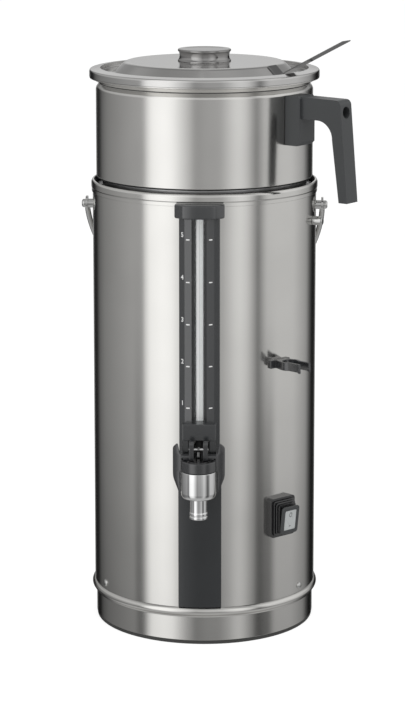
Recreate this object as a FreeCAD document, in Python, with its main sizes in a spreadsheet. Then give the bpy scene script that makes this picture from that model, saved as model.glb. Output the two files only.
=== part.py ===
import FreeCAD, Part
import math
import os
import Sketcher

# Coffee urn: a double-walled steel container with a tap and a sight gauge, a filter basket on its mouth
# and a loose lid. Millimetres, +Z up, origin on the body's axis under the foot, tap side towards -Y.
# A piece at an azimuth is drawn facing -Y and then turned about Z by that azimuth.

SIZES = {
    # Base and foot
    "foot_set_in": 0.5,
    "foot_width": 6.0,
    "foot_height": 3.5,
    "foot_tongue_wall": 2.8,
    "foot_tongue_top": 12.0,
    "plate_thickness": 1.2,
    "base_set_in": 1.5,
    "base_skirt_height": 23.8,
    "bead_height": 7.6,
    "bead_bulge": 2.5,
    "bead_curve": 4.0,
    "base_flange_height": 17.0,
    "base_screw_rise": 6.1,
    "base_screw_radius": 1.7,
    "base_screw_head": 3.3,
    "base_screw_dome": 2.0,
    "base_screw_inside": 3.0,
    "base_screw_spread": 120.0,
    "base_screw_first": 60.0,
    "sheet_wall": 1.0,
    "seat_gap": 0.3,
    "slip_gap": 0.2,
    # Body and top ring
    "body_radius": 102.0,
    "rim_low": 399.0,
    "rim_step": 3.7,
    "rim_height": 11.0,
    "rim_bulge": 1.2,
    "rim_curve": 3.0,
    "rim_lip": 2.5,
    "moat_depth": 7.0,
    # Tank
    "tank_set_in": 10.0,
    "tank_floor_rise": 25.4,
    "tank_floor_wall": 1.2,
    "tank_lip_rise": 13.2,
    "tank_flange_width": 5.5,
    "jacket_low_rise": 8.6,
    "jacket_top_drop": 1.0,
    "jacket_gap": 0.4,
    "jacket_hole": 8.0,
    # Outlet pipe
    "outlet_set_in": 14.0,
    "pipe_radius": 7.0,
    "pipe_bore": 5.0,
    "pipe_bend": 10.0,
    # Tap
    "tap_out": 24.0,
    "tap_inlet_height": 158.0,
    "tap_cup_radius": 15.5,
    "tap_cup_wall": 2.5,
    "tap_cup_drop": 15.0,
    "tap_cup_height": 25.0,
    "tap_cup_curve": 4.0,
    "tap_cup_floor": 4.0,
    "nozzle_radius": 7.5,
    "nozzle_bore": 4.5,
    "nozzle_length": 18.4,
    "nozzle_ring": 0.4,
    "nozzle_ring_height": 2.6,
    "nozzle_groove": 0.8,
    "tap_stub_radius": 8.0,
    "tap_flange_radius": 12.0,
    "tap_flange_wall": 6.0,
    "gasket_wall": 0.9,
    "tap_nut_across": 26.0,
    "tap_nut_wall": 5.0,
    "nut_gap": 1.3,
    "small_nut_gap": 0.3,
    "bonnet_plug_depth": 6.0,
    "bonnet_radius": 11.5,
    "bonnet_height": 9.0,
    "bonnet_bevel": 3.0,
    # Valve
    "stem_radius": 1.8,
    "stem_slip": 0.3,
    "stem_disc_radius": 4.4,
    "stem_disc_wall": 2.0,
    "seal_radius": 6.5,
    "seal_wall": 2.9,
    "pin_rise": 29.0,
    "pin_radius": 1.3,
    "pin_slip": 0.05,
    "pin_half_length": 8.6,
    "barrel_radius": 2.6,
    "barrel_half_width": 1.0,
    "spring_wire": 0.5,
    "spring_coil": 4.2,
    "spring_turns": 4.0,
    # Lever
    "skirt_wall": 2.1,
    "skirt_height": 9.3,
    "skirt_gap": 0.4,
    "skirt_back": 5.0,
    "fork_head_rise": 4.5,
    "shoulder_gap": 0.5,
    "shoulder_height": 4.5,
    "shoulder_front": 2.0,
    "shoulder_back": 5.5,
    "shoulder_half": 15.0,
    "fork_inner": 4.1,
    "fork_wall": 4.1,
    "fork_depth": 3.5,
    "cheek_outer": 23.3,
    "cheek_front": 1.0,
    "cheek_back": 8.6,
    "cheek_wall": 2.6,
    "cheek_rim": 1.3,
    "cheek_curve": 16.0,
    "cheek_gap": 0.7,
    "cheek_rise": 5.5,
    "cheek_foot_rise": 5.5,
    # Sight gauge
    "gauge_width": 35.8,
    "gauge_gap": 0.2,
    "gauge_out": 11.0,
    "gauge_back_wall": 1.0,
    "gauge_rise": 20.5,
    "gauge_arch_height": 14.3,
    "gauge_block_half": 14.7,
    "gauge_block_out": 5.0,
    "gauge_leg_inner": 9.0,
    "gauge_leg_low": 4.0,
    "gauge_arch_half": 14.7,
    "gauge_slot_rise": 29.1,
    "gauge_slot_width": 13.1,
    "gauge_cap_drop": 9.4,
    "gauge_cap_height": 12.4,
    "gauge_cap_width": 43.8,
    "gauge_cap_out": 2.2,
    "gauge_cap_bevel": 2.6,
    "gauge_cap_corner": 2.5,
    "glass_out": 5.8,
    "glass_radius": 4.0,
    "glass_bore": 2.7,
    "glass_low_rise": 19.0,
    "glass_top_drop": 4.0,
    "glass_slip": 0.15,
    "gauge_seal_height": 2.5,
    "gauge_seal_bore": 2.2,
    "riser_radius": 3.4,
    "riser_bore": 2.0,
    "strip_width": 6.0,
    "strip_wall": 0.4,
    "gauge_screw_side": 12.0,
    "gauge_screw_rise": 20.5,
    "gauge_screw_drop": 3.5,
    "gauge_screw_radius": 2.0,
    "gauge_screw_head": 3.5,
    "gauge_screw_head_wall": 2.4,
    "gauge_screw_out": 5.0,
    # Lower trim strip
    "trim_width": 38.5,
    "trim_wall": 1.6,
    "trim_low_gap": 0.5,
    "trim_hole": 8.6,
    # Switch
    "switch_azimuth": 43.5,
    "switch_height": 113.6,
    "bezel_width": 29.5,
    "bezel_height": 36.0,
    "bezel_corner": 3.0,
    "bezel_out": 7.2,
    "switch_cut_width": 23.0,
    "switch_cut_height": 29.0,
    "switch_corner": 2.0,
    "boot_rib_out": 0.8,
    "boot_groove_out": 0.6,
    "boot_rib_count": 3.0,
    "boot_rib_width": 25.2,
    "boot_rib_height": 31.4,
    "boot_taper": 1.3,
    "boot_groove": 1.2,
    "boot_hole_width": 16.2,
    "boot_hole_height": 22.0,
    "rocker_width": 20.0,
    "rocker_height": 25.5,
    "rocker_wall": 2.3,
    "rocker_out": 8.3,
    "rocker_neck_width": 14.8,
    "rocker_neck_height": 19.2,
    "rocker_barrel": 2.5,
    "rocker_pivot_in": 3.0,
    "rocker_tilt": 7.0,
    "lens_width": 13.6,
    "lens_height": 18.5,
    "lens_wall": 1.0,
    "lens_set_in": 0.4,
    "switch_body_depth": 18.0,
    # Holder clip
    "clip_azimuth": 43.0,
    "clip_low": 250.5,
    "clip_height": 7.5,
    "clip_out": 14.7,
    "clip_hole": 6.8,
    "clip_wall": 2.3,
    "clip_tip_out": 34.0,
    "clip_prong_inner": 4.8,
    "clip_prong_wall": 2.3,
    "clip_foot_half": 11.5,
    "clip_foot_wall": 2.6,
    "clip_neck_half": 5.0,
    "clip_tip_drop": 1.0,
    "clip_screw_radius": 2.0,
    "clip_screw_head": 4.0,
    "clip_screw_depth": 6.0,
    # Bail
    "bail_drop": 13.3,
    "bail_spacer_out": 4.6,
    "bail_spacer_radius": 4.15,
    "bail_eye_radius": 7.0,
    "bail_eye_wall": 2.0,
    "bail_bolt_radius": 3.0,
    "bail_bolt_slip": 0.1,
    "bail_side_slip": 0.1,
    "bail_head_radius": 3.9,
    "bail_head_wall": 3.6,
    "bail_nut_across": 10.0,
    "bail_nut_wall": 3.5,
    "bail_rod": 2.5,
    "bail_length": 160.0,
    "bail_bow": 78.0,
    "stop_azimuth": 76.0,
    "stop_drop": 10.7,
    "stop_radius": 4.1,
    "stop_out": 9.5,
    # Filter basket
    "basket_set_in": 3.4,
    "basket_height": 82.1,
    "basket_neck_rise": 3.7,
    "basket_neck_in": 3.3,
    "basket_mouth_rise": 9.1,
    "basket_mouth_out": 5.6,
    "basket_spigot_gap": 0.6,
    "basket_spigot_drop": 6.2,
    "basket_spout_drop": 14.2,
    "basket_spout": 6.0,
    "filter_wall": 1.0,
    "filter_hole": 2.0,
    "filter_ring_gap": 14.0,
    "filter_rings": 6.0,
    # Basket handle
    "handle_azimuth": 55.0,
    "handle_block_width": 23.0,
    "handle_width": 17.0,
    "handle_block_drop": 45.3,
    "handle_block_set": 1.3,
    "handle_block_out": 15.4,
    "handle_arm_drop": 21.3,
    "handle_arm_set": 2.3,
    "handle_out": 56.4,
    "handle_lean": 7.5,
    "handle_drop": 92.3,
    "handle_grip_wall": 8.6,
    "handle_inner_curve": 16.0,
    "handle_outer_curve": 5.0,
    "handle_gap": 0.3,
    "handle_hole": 5.25,
    "handle_hole_drop": 13.3,
    "handle_hole_out": 17.4,
    "handle_screw_radius": 2.5,
    "handle_screw_head": 4.6,
    "handle_screw_head_wall": 3.0,
    "bracket_half_width": 9.0,
    "bracket_drop": 28.3,
    "bracket_height": 26.0,
    # Lid
    "lid_gap": 0.3,
    "lid_band_height": 6.2,
    "lid_rim_width": 9.9,
    "lid_rim_rise": 1.6,
    "lid_channel_depth": 4.5,
    "lid_cone_foot_in": 21.7,
    "lid_cone_top_in": 32.5,
    "lid_cone_rise": 10.0,
    "knob_radius": 24.25,
    "knob_waist": 22.3,
    "knob_height": 11.0,
    "knob_flange": 2.2,
    "knob_dish": 0.6,
    "knob_screw_radius": 2.5,
    "knob_screw_head": 4.5,
    "knob_screw_head_wall": 3.0,
    "knob_screw_length": 8.0,
    "thumb_azimuth": 57.8,
    "thumb_width": 13.4,
    "thumb_wall": 1.0,
    "thumb_length": 77.0,
    "thumb_angle": 27.0,
    "thumb_foot": 13.2,
    # Heating and electrics
    "heater_plate_in": 30.0,
    "heater_plate_wall": 4.0,
    "heater_ring_in": 47.0,
    "heater_tube": 4.0,
    "heater_leg_side": 6.0,
    "heater_leg_radius": 2.0,
    "heater_leg_drop": 25.4,
    "thermostat_radius": 12.0,
    "thermostat_height": 10.0,
    "thermostat_side": 20.0,
    "cutout_radius": 8.0,
    "cutout_height": 8.0,
    "block_half_width": 16.0,
    "block_depth": 18.0,
    "block_height": 14.0,
    "block_back": 22.0,
    "inlet_height": 78.0,
    "inlet_width": 31.0,
    "inlet_tall": 24.0,
    "inlet_flange": 2.8,
    "inlet_body_width": 27.0,
    "inlet_body_tall": 19.0,
    "inlet_depth": 18.0,
    "inlet_cavity_width": 24.4,
    "inlet_cavity_tall": 16.5,
    "inlet_cavity_depth": 14.0,
    "inlet_corner": 2.0,
    "inlet_pin_length": 11.0,
    "inlet_pin_pitch": 7.0,
    "inlet_pin_rise": 2.0,
    "wire_radius": 1.4,
    "wire_lead": 36.0,
    "wire_short_lead": 22.0,
    "wire_gap": 0.05,
    "wire_spread": 10.0,
}

doc = FreeCAD.newDocument("coffee_urn")
sheet = doc.addObject("Spreadsheet::Sheet", "Sizes")


class Size:
    """A length or an angle: its number, and the sheet expression that gives it."""

    def __init__(self, value, text):
        self.value = value
        self.text = text

    def __add__(self, other):
        other = as_size(other)
        return Size(self.value + other.value, f"({self.text} + {other.text})")

    def __sub__(self, other):
        other = as_size(other)
        return Size(self.value - other.value, f"({self.text} - {other.text})")

    def __mul__(self, other):
        other = as_size(other)
        return Size(self.value * other.value, f"({self.text} * {other.text})")

    def __truediv__(self, other):
        other = as_size(other)
        return Size(self.value / other.value, f"({self.text} / {other.text})")

    def __neg__(self):
        return Size(-self.value, f"(0 - {self.text})")

    def __radd__(self, other):
        return as_size(other) + self

    def __rsub__(self, other):
        return as_size(other) - self

    def __rmul__(self, other):
        return as_size(other) * self


def as_size(number):
    if isinstance(number, Size):
        return number
    return Size(float(number), str(float(number)))


def cosine(angle):
    return Size(math.cos(math.radians(angle.value)), f"cos({angle.text} * 1deg)")


def sine(angle):
    return Size(math.sin(math.radians(angle.value)), f"sin({angle.text} * 1deg)")


class Named:
    """Every cell of the sheet as a Size under its own name."""


dim = Named()
for row, (alias, number) in enumerate(SIZES.items(), 1):
    sheet.set(f"A{row}", alias)
    sheet.set(f"B{row}", str(number))
    sheet.setAlias(f"B{row}", alias)
    setattr(dim, alias, Size(number, f"Sizes.{alias}"))
doc.recompute()

# Sizes that follow from others, so that the urn stays whole when one of them changes
dim.base_radius = dim.body_radius - dim.base_set_in
dim.foot_radius = dim.base_radius - dim.foot_set_in
dim.rim_inner = dim.body_radius - dim.rim_lip
dim.tank_radius = dim.body_radius - dim.tank_set_in
dim.outlet_reach = dim.tank_radius - dim.outlet_set_in
dim.pipe_end_reach = dim.tank_radius
dim.tap_reach = dim.body_radius + dim.tap_out
dim.glass_reach = dim.body_radius + dim.glass_out
dim.gauge_screw_tip = dim.body_radius + dim.gauge_screw_out
dim.clip_reach = dim.body_radius + dim.clip_out
dim.clip_tip_reach = dim.body_radius + dim.clip_tip_out
dim.basket_radius = dim.body_radius - dim.basket_set_in
dim.basket_neck = dim.basket_radius - dim.basket_neck_in
dim.basket_mouth = dim.basket_radius + dim.basket_mouth_out
dim.basket_spigot = dim.tank_radius - dim.basket_spigot_gap
dim.handle_block_reach = dim.basket_radius + dim.handle_block_out
dim.handle_reach = dim.basket_radius + dim.handle_out
dim.handle_hole_end = dim.basket_radius + dim.handle_hole_out
dim.lid_rim_inner = dim.basket_mouth - dim.lid_rim_width
dim.lid_cone_low = dim.basket_mouth - dim.lid_cone_foot_in
dim.lid_cone_top = dim.basket_mouth - dim.lid_cone_top_in
dim.heater_plate_radius = dim.tank_radius - dim.heater_plate_in
dim.heater_ring = dim.tank_radius - dim.heater_ring_in
dim.tank_floor = dim.tap_inlet_height + dim.tank_floor_rise
dim.heater_leg_low = dim.tank_floor - dim.heater_leg_drop
dim.jacket_low = dim.tank_floor + dim.jacket_low_rise
dim.jacket_top = dim.rim_low - dim.jacket_top_drop
dim.tap_cup_low = dim.tap_inlet_height - dim.tap_cup_drop
dim.pin_height = dim.tap_inlet_height + dim.pin_rise
dim.cheek_top = dim.pin_height + dim.cheek_rise
dim.cheek_low = dim.tap_cup_low + dim.cheek_foot_rise
dim.gauge_low = dim.tap_inlet_height + dim.gauge_rise
dim.gauge_arch_top = dim.gauge_low + dim.gauge_arch_height
dim.gauge_slot_low = dim.gauge_low + dim.gauge_slot_rise
dim.glass_low = dim.gauge_low + dim.glass_low_rise
dim.gauge_screw_low = dim.gauge_low + dim.gauge_screw_rise
dim.gauge_cap_low = dim.rim_low - dim.gauge_cap_drop
dim.glass_top = dim.rim_low - dim.glass_top_drop
dim.gauge_screw_top = dim.rim_low - dim.gauge_screw_drop
dim.tank_lip = dim.rim_low + dim.tank_lip_rise
dim.bail_height = dim.rim_low - dim.bail_drop
dim.stop_height = dim.bail_height - dim.stop_drop
dim.basket_top = dim.tank_lip + dim.basket_height
dim.basket_spigot_low = dim.tank_lip - dim.basket_spigot_drop
dim.basket_spout_low = dim.tank_lip - dim.basket_spout_drop
dim.handle_block_low = dim.basket_top - dim.handle_block_drop
dim.handle_block_top = dim.basket_top - dim.handle_block_set
dim.handle_arm_low = dim.basket_top - dim.handle_arm_drop
dim.handle_arm_top = dim.basket_top - dim.handle_arm_set
dim.handle_low = dim.basket_top - dim.handle_drop
dim.handle_hole_height = dim.basket_top - dim.handle_hole_drop
dim.bracket_low = dim.basket_top - dim.bracket_drop

# Heights and radii that several pieces share
bead_low = dim.foot_height + dim.base_skirt_height
bead_top = bead_low + dim.bead_height
bead_mid = bead_low + dim.bead_height / 2
bead_outer = dim.body_radius + dim.bead_bulge
shell_inner = dim.body_radius - dim.sheet_wall
base_inner = dim.base_radius - dim.sheet_wall
rim_top = dim.rim_low + dim.rim_height
moat_floor = rim_top - dim.moat_depth
tank_outer = dim.tank_radius + dim.sheet_wall
screw_height = bead_top + dim.base_screw_rise
cup_top = dim.tap_cup_low + dim.tap_cup_height
gauge_front = dim.body_radius + dim.gauge_gap + dim.gauge_out
gauge_back = dim.body_radius + dim.gauge_gap
trim_outer = dim.body_radius + dim.gauge_gap + dim.trim_wall
dim.trim_low = bead_top + dim.trim_low_gap
basket_low = dim.tank_lip + dim.seat_gap
basket_mouth_top = dim.basket_top + dim.basket_mouth_rise
bezel_front = dim.body_radius + dim.bezel_out
lid_low = basket_mouth_top + dim.lid_gap
lid_band_top = lid_low + dim.lid_band_height
lid_rim_top = lid_band_top + dim.lid_rim_rise
lid_channel = lid_rim_top - dim.lid_channel_depth
lid_top = lid_channel + dim.lid_cone_rise
heater_low = dim.tank_floor - dim.tank_floor_wall - dim.heater_plate_wall


# Building blocks

def bind(item, place, size):
    item.setExpression(place, as_size(size).text)


def origin_plane(body, role):
    for feature in body.Origin.OriginFeatures:
        if feature.Role == role:
            return feature
    raise RuntimeError("no plane " + role)


def bound_sketch(body, role, rows, offset=None):
    """A closed outline. A row is x, y and, where the edge to the next row is round, its radius
    (negative where the edge turns clockwise)."""
    sketch = body.newObject("Sketcher::SketchObject", body.Name + "_outline")
    sketch.AttachmentSupport = [(origin_plane(body, role), "")]
    sketch.MapMode = "FlatFace"
    if offset is not None:
        bind(sketch, ".AttachmentOffset.Base.z", offset)
    corners = [(as_size(line[0]), as_size(line[1])) for line in rows]
    ends = []
    for index, line in enumerate(rows):
        here = corners[index]
        there = corners[(index + 1) % len(rows)]
        start = FreeCAD.Vector(here[0].value, here[1].value, 0)
        stop = FreeCAD.Vector(there[0].value, there[1].value, 0)
        if len(line) == 2:
            sketch.addGeometry(Part.LineSegment(start, stop), False)
            ends.append((1, 2))
            continue
        radius = as_size(line[2])
        chord = stop - start
        side = FreeCAD.Vector(-chord.y, chord.x, 0).normalize()
        reach = math.sqrt(max(radius.value ** 2 - (chord.Length / 2) ** 2, 0))
        if radius.value < 0:
            reach = -reach
        centre = (start + stop) * 0.5 + side * reach
        circle = Part.Circle(centre, FreeCAD.Vector(0, 0, 1), abs(radius.value))
        first = math.atan2(start.y - centre.y, start.x - centre.x)
        last = math.atan2(stop.y - centre.y, stop.x - centre.x)
        if radius.value < 0:
            sketch.addGeometry(Part.ArcOfCircle(circle, last, first), False)
            ends.append((2, 1))
        else:
            sketch.addGeometry(Part.ArcOfCircle(circle, first, last), False)
            ends.append((1, 2))
    for index in range(len(rows)):
        following = (index + 1) % len(rows)
        sketch.addConstraint(Sketcher.Constraint("Coincident", index, ends[index][1],
                                                 following, ends[following][0]))
    for index, line in enumerate(rows):
        begin = ends[index][0]
        for axis, size in zip(("X", "Y"), corners[index]):
            label = f"{axis.lower()}_{index}"
            rule = Sketcher.Constraint("Distance" + axis, -1, 1, index, begin, size.value)
            number = sketch.addConstraint(rule)
            sketch.renameConstraint(number, label)
            bind(sketch, "Constraints." + label, size)
        if len(line) > 2:
            radius = as_size(line[2])
            number = sketch.addConstraint(Sketcher.Constraint("Radius", index, abs(radius.value)))
            sketch.renameConstraint(number, f"radius_{index}")
            bind(sketch, f"Constraints.radius_{index}", radius if radius.value > 0 else -radius)
    return sketch


def turned(name, rows):
    """A solid of revolution about Z from rows of radius and height."""
    body = doc.addObject("PartDesign::Body", name)
    sketch = bound_sketch(body, "XZ_Plane", rows)
    spin = body.newObject("PartDesign::Revolution", name + "_spin")
    spin.Profile = sketch
    spin.ReferenceAxis = (sketch, ["V_Axis"])
    spin.Angle = 360
    return body


def slab(name, role, rows, low, high):
    """An outline pushed from low to high along its plane's normal: outwards (-Y) on XZ, +X on YZ."""
    body = doc.addObject("PartDesign::Body", name)
    sketch = bound_sketch(body, role, rows, offset=low)
    pad = body.newObject("PartDesign::Pad", name + "_pad")
    pad.Profile = sketch
    bind(pad, "Length", as_size(high) - as_size(low))
    return body


def rounded(half_width, low, high, corner):
    """A rectangle with round corners, centred on the vertical axis."""
    return [
        (-half_width + corner, low),
        (half_width - corner, low, corner),
        (half_width, low + corner),
        (half_width, high - corner, corner),
        (half_width - corner, high),
        (-half_width + corner, high, corner),
        (-half_width, high - corner),
        (-half_width, low + corner, corner),
    ]


def place(item, x=0, y=0, z=0):
    for axis, size in (("x", x), ("y", y), ("z", z)):
        bind(item, ".Placement.Base." + axis, size)


def box(name, x, y, z):
    """A box from pairs of low and high along each axis."""
    item = doc.addObject("Part::Box", name)
    for side, (low, high) in zip(("Length", "Width", "Height"), (x, y, z)):
        bind(item, side, as_size(high) - as_size(low))
    place(item, x[0], y[0], z[0])
    return item


def upright(name, radius, low, high, x=0, y=0):
    item = doc.addObject("Part::Cylinder", name)
    bind(item, "Radius", radius)
    bind(item, "Height", as_size(high) - as_size(low))
    place(item, x, y, low)
    return item


def outward(name, radius, low, high, x=0, z=0):
    """A round bar pointing outwards (-Y), from one distance off the axis to another."""
    item = doc.addObject("Part::Cylinder", name)
    bind(item, "Radius", radius)
    bind(item, "Height", as_size(high) - as_size(low))
    item.Placement.Rotation = FreeCAD.Rotation(FreeCAD.Vector(1, 0, 0), 90)
    place(item, x, -as_size(low), z)
    return item


def crosswise(name, radius, low, high, y=0, z=0):
    """A round bar along X."""
    item = doc.addObject("Part::Cylinder", name)
    bind(item, "Radius", radius)
    bind(item, "Height", as_size(high) - as_size(low))
    item.Placement.Rotation = FreeCAD.Rotation(FreeCAD.Vector(0, 1, 0), 90)
    place(item, low, y, z)
    return item


def joined(name, items):
    item = doc.addObject("Part::MultiFuse", name)
    item.Shapes = items
    return item


def shared(name, items):
    item = doc.addObject("Part::MultiCommon", name)
    item.Shapes = items
    return item


def cut(name, base, tools):
    item = doc.addObject("Part::Cut", name)
    item.Base = base
    item.Tool = tools[0] if len(tools) == 1 else joined(name + "_tools", tools)
    return item


def group(name, items):
    item = doc.addObject("Part::Compound", name)
    item.Links = items
    return item


def faced(name, items, azimuth):
    """Pieces drawn facing -Y, turned about Z to face the azimuth."""
    item = group(name, items)
    bind(item, ".Placement.Rotation.Angle", azimuth)
    return item


def ring(name, inner, outer, low, high):
    return turned(name, [(inner, low), (outer, low), (outer, high), (inner, high)])


def formed(name, shape):
    item = doc.addObject("Part::Feature", name)
    item.Shape = shape
    return item


PARTS = []


def part(item, label):
    item.Label = label
    PARTS.append(item)
    return item


def vector(x, y, z):
    return FreeCAD.Vector(x, y, z)


# Foot, base plate and base ring

tongue_outer = base_inner - dim.slip_gap
tongue_inner = tongue_outer - dim.foot_tongue_wall
foot_inner = dim.foot_radius - dim.foot_width
foot_ring = turned("foot_ring_body", [
    (foot_inner, 0),
    (dim.foot_radius, 0),
    (dim.foot_radius, dim.foot_height),
    (tongue_outer, dim.foot_height),
    (tongue_outer, dim.foot_tongue_top),
    (tongue_inner, dim.foot_tongue_top),
    (tongue_inner, dim.foot_height + dim.foot_tongue_wall),
    (foot_inner, dim.foot_height),
])
part(foot_ring, "foot_ring")

plate_top = dim.foot_tongue_top + dim.plate_thickness
base_plate = upright("base_plate_body", tongue_outer, dim.foot_tongue_top, plate_top)
part(base_plate, "base_plate")

flange_outer = shell_inner - dim.slip_gap
flange_inner = flange_outer - dim.sheet_wall
base_ring = turned("base_ring_body", [
    (base_inner, dim.foot_height),
    (dim.base_radius, dim.foot_height),
    (dim.base_radius, bead_low, dim.bead_curve),
    (bead_outer, bead_mid, dim.bead_curve),
    (dim.body_radius, bead_top),
    (flange_outer, bead_top),
    (flange_outer, bead_top + dim.base_flange_height),
    (flange_inner, bead_top + dim.base_flange_height),
    (flange_inner, bead_top - dim.sheet_wall),
    (bead_outer - dim.sheet_wall * 1.2, bead_mid),
    (base_inner, bead_low),
])


def base_screw_set(name, make):
    pieces = []
    for number in range(3):
        azimuth = dim.base_screw_first + dim.base_screw_spread * number
        pieces.append(faced(f"{name}_{number}", [make(f"{name}_one_{number}")], azimuth))
    return pieces


def base_screw(name):
    shank = outward(name + "_shank", dim.base_screw_radius, flange_inner - dim.base_screw_inside, dim.body_radius,
                    z=screw_height)
    dome_rise = dim.base_screw_dome * 0.7
    dome_curve = (dim.base_screw_head * dim.base_screw_head + dome_rise * dome_rise) / (dome_rise * 2)
    dome = turned(name + "_dome", [
        (0, 0),
        (dim.base_screw_head, 0),
        (dim.base_screw_head, dim.base_screw_dome - dome_rise, dome_curve),
        (0, dim.base_screw_dome),
    ])
    dome.Placement.Rotation = FreeCAD.Rotation(FreeCAD.Vector(1, 0, 0), 90)
    place(dome, 0, -dim.body_radius, screw_height)
    return joined(name, [shank, dome])


def base_screw_hole(name):
    return outward(name, dim.base_screw_radius, flange_inner - 4, dim.body_radius + 4, z=screw_height)


part(cut("base_ring_cut", base_ring, base_screw_set("ring_hole", base_screw_hole)), "base_ring")
part(group("base_screws_group", base_screw_set("base_screw", base_screw)), "base_screws")


# Outer shell, top ring and insulation

def hole_at(name, radius, azimuth, height):
    """A round hole through the double wall at an azimuth and a height."""
    bar = outward(name + "_bar", radius, tank_outer + dim.slip_gap, dim.body_radius + 6, z=height)
    return faced(name, [bar], azimuth)


def gauge_screw_places():
    places = []
    for height in (dim.gauge_screw_low, dim.gauge_screw_top):
        for side in (-dim.gauge_screw_side, dim.gauge_screw_side):
            places.append((side, height))
    return places


def gauge_screw_holes(name, radius):
    holes = []
    hole_end = dim.gauge_screw_tip + dim.slip_gap
    for number, (side, height) in enumerate(gauge_screw_places()):
        holes.append(outward(f"{name}_{number}", radius, tank_outer + 1, hole_end, x=side, z=height))
    return holes


def side_holes(name, radius, azimuths, height):
    return [hole_at(f"{name}_{number}", radius, azimuth, height) for number, azimuth in enumerate(azimuths)]


shell = ring("shell_tube", shell_inner, dim.body_radius, bead_top, rim_top - dim.moat_depth + 3)
switch_cut = faced("shell_switch_cut", [
    slab("shell_switch_slot", "XZ_Plane",
         rounded(dim.switch_cut_width / 2, dim.switch_height - dim.switch_cut_height / 2,
                 dim.switch_height + dim.switch_cut_height / 2, dim.switch_corner),
         tank_outer, dim.body_radius + 5)], dim.switch_azimuth)
inlet_cut = faced("shell_inlet_cut", [
    slab("shell_inlet_slot", "XZ_Plane",
         rounded((dim.inlet_body_width + dim.slip_gap * 2) / 2,
                 dim.inlet_height - dim.inlet_body_tall / 2 - dim.slip_gap,
                 dim.inlet_height + dim.inlet_body_tall / 2 + dim.slip_gap, dim.inlet_corner),
         tank_outer, dim.body_radius + 5)], as_size(180))
shell_holes = base_screw_set("shell_hole", base_screw_hole)
shell_holes += gauge_screw_holes("shell_gauge_hole", dim.gauge_screw_radius)
shell_holes += side_holes("shell_bail_hole", dim.bail_bolt_radius, (as_size(90), as_size(-90)), dim.bail_height)
shell_holes.append(hole_at("shell_stop_hole", dim.bail_bolt_radius, dim.stop_azimuth, dim.stop_height))
shell_holes.append(hole_at("shell_clip_hole", dim.clip_screw_radius, dim.clip_azimuth,
                           dim.clip_low + dim.clip_height / 2))
shell_holes.append(outward("shell_tap_hole", dim.tap_stub_radius, tank_outer, dim.body_radius + 2,
                           z=dim.tap_inlet_height))
shell_holes += [switch_cut, inlet_cut]
part(cut("outer_shell_cut", shell, shell_holes), "outer_shell")

rim_outer = dim.body_radius + dim.rim_bulge
rim_skin = dim.body_radius + dim.slip_gap
rim_back = dim.rim_inner + dim.sheet_wall
top_ring = turned("top_ring_body", [
    (rim_skin, dim.rim_low),
    (rim_outer - dim.slip_gap * 2, dim.rim_low),
    (rim_outer - dim.slip_gap * 2, dim.rim_low + dim.rim_step),
    (rim_outer, dim.rim_low + dim.rim_step + dim.slip_gap * 2),
    (rim_outer, rim_top - dim.rim_curve, dim.rim_curve),
    (rim_outer - dim.rim_curve, rim_top),
    (dim.rim_inner, rim_top - dim.slip_gap * 3),
    (dim.rim_inner, moat_floor),
    (tank_outer + dim.seat_gap, moat_floor),
    (tank_outer + dim.seat_gap, moat_floor - dim.sheet_wall),
    (rim_back, moat_floor - dim.sheet_wall),
    (rim_back, rim_top - dim.sheet_wall * 1.3),
    (rim_outer - dim.rim_curve + dim.sheet_wall, rim_top - dim.sheet_wall * 1.3),
    (rim_skin, rim_top - dim.rim_curve),
])
part(top_ring, "top_ring")

jacket = ring("jacket_tube", tank_outer + dim.jacket_gap, shell_inner - dim.jacket_gap, dim.jacket_low,
              dim.jacket_top)
jacket_holes = gauge_screw_holes("jacket_gauge_hole", dim.jacket_hole)
jacket_holes += side_holes("jacket_bail_hole", dim.jacket_hole, (as_size(90), as_size(-90)), dim.bail_height)
jacket_holes.append(hole_at("jacket_stop_hole", dim.jacket_hole, dim.stop_azimuth, dim.stop_height))
jacket_holes.append(hole_at("jacket_clip_hole", dim.jacket_hole, dim.clip_azimuth,
                            dim.clip_low + dim.clip_height / 2))
part(cut("insulation_jacket_cut", jacket, jacket_holes), "insulation_jacket")


# Tank and outlet pipe

tank_underside = dim.tank_floor - dim.tank_floor_wall
tank_flange = tank_outer + dim.tank_flange_width
tank = turned("tank_body", [
    (0, tank_underside),
    (tank_outer, tank_underside),
    (tank_outer, moat_floor),
    (tank_flange, moat_floor),
    (tank_flange, moat_floor + dim.sheet_wall),
    (tank_outer, moat_floor + dim.sheet_wall),
    (tank_outer, dim.tank_lip),
    (dim.tank_radius, dim.tank_lip),
    (dim.tank_radius, dim.tank_floor),
    (0, dim.tank_floor),
])
tank_hole = upright("tank_outlet_hole", dim.pipe_radius, tank_underside - 1, dim.tank_floor + 1,
                    y=-dim.outlet_reach)
part(cut("inner_tank_cut", tank, [tank_hole]), "inner_tank")


def bent_pipe(name, radius):
    """Down from the tank floor, round a quarter bend and forward to the tap."""
    bend_height = dim.tap_inlet_height + dim.pipe_bend
    drop = upright(name + "_drop", radius, bend_height, dim.tank_floor, y=-dim.outlet_reach)
    bend = doc.addObject("Part::Torus", name + "_bend")
    bind(bend, "Radius1", dim.pipe_bend)
    bind(bend, "Radius2", radius)
    bend.Angle3 = 90
    bend.Placement.Rotation = FreeCAD.Rotation(vector(0, 1, 0), vector(0, 0, -1), vector(-1, 0, 0), "XYZ")
    place(bend, 0, -(dim.outlet_reach + dim.pipe_bend), bend_height)
    run = outward(name + "_run", radius, dim.outlet_reach + dim.pipe_bend, dim.pipe_end_reach,
                  z=dim.tap_inlet_height)
    return joined(name, [drop, bend, run])


part(cut("outlet_pipe_cut", bent_pipe("pipe_outside", dim.pipe_radius),
         [bent_pipe("pipe_inside", dim.pipe_bore)]), "outlet_pipe")


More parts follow.
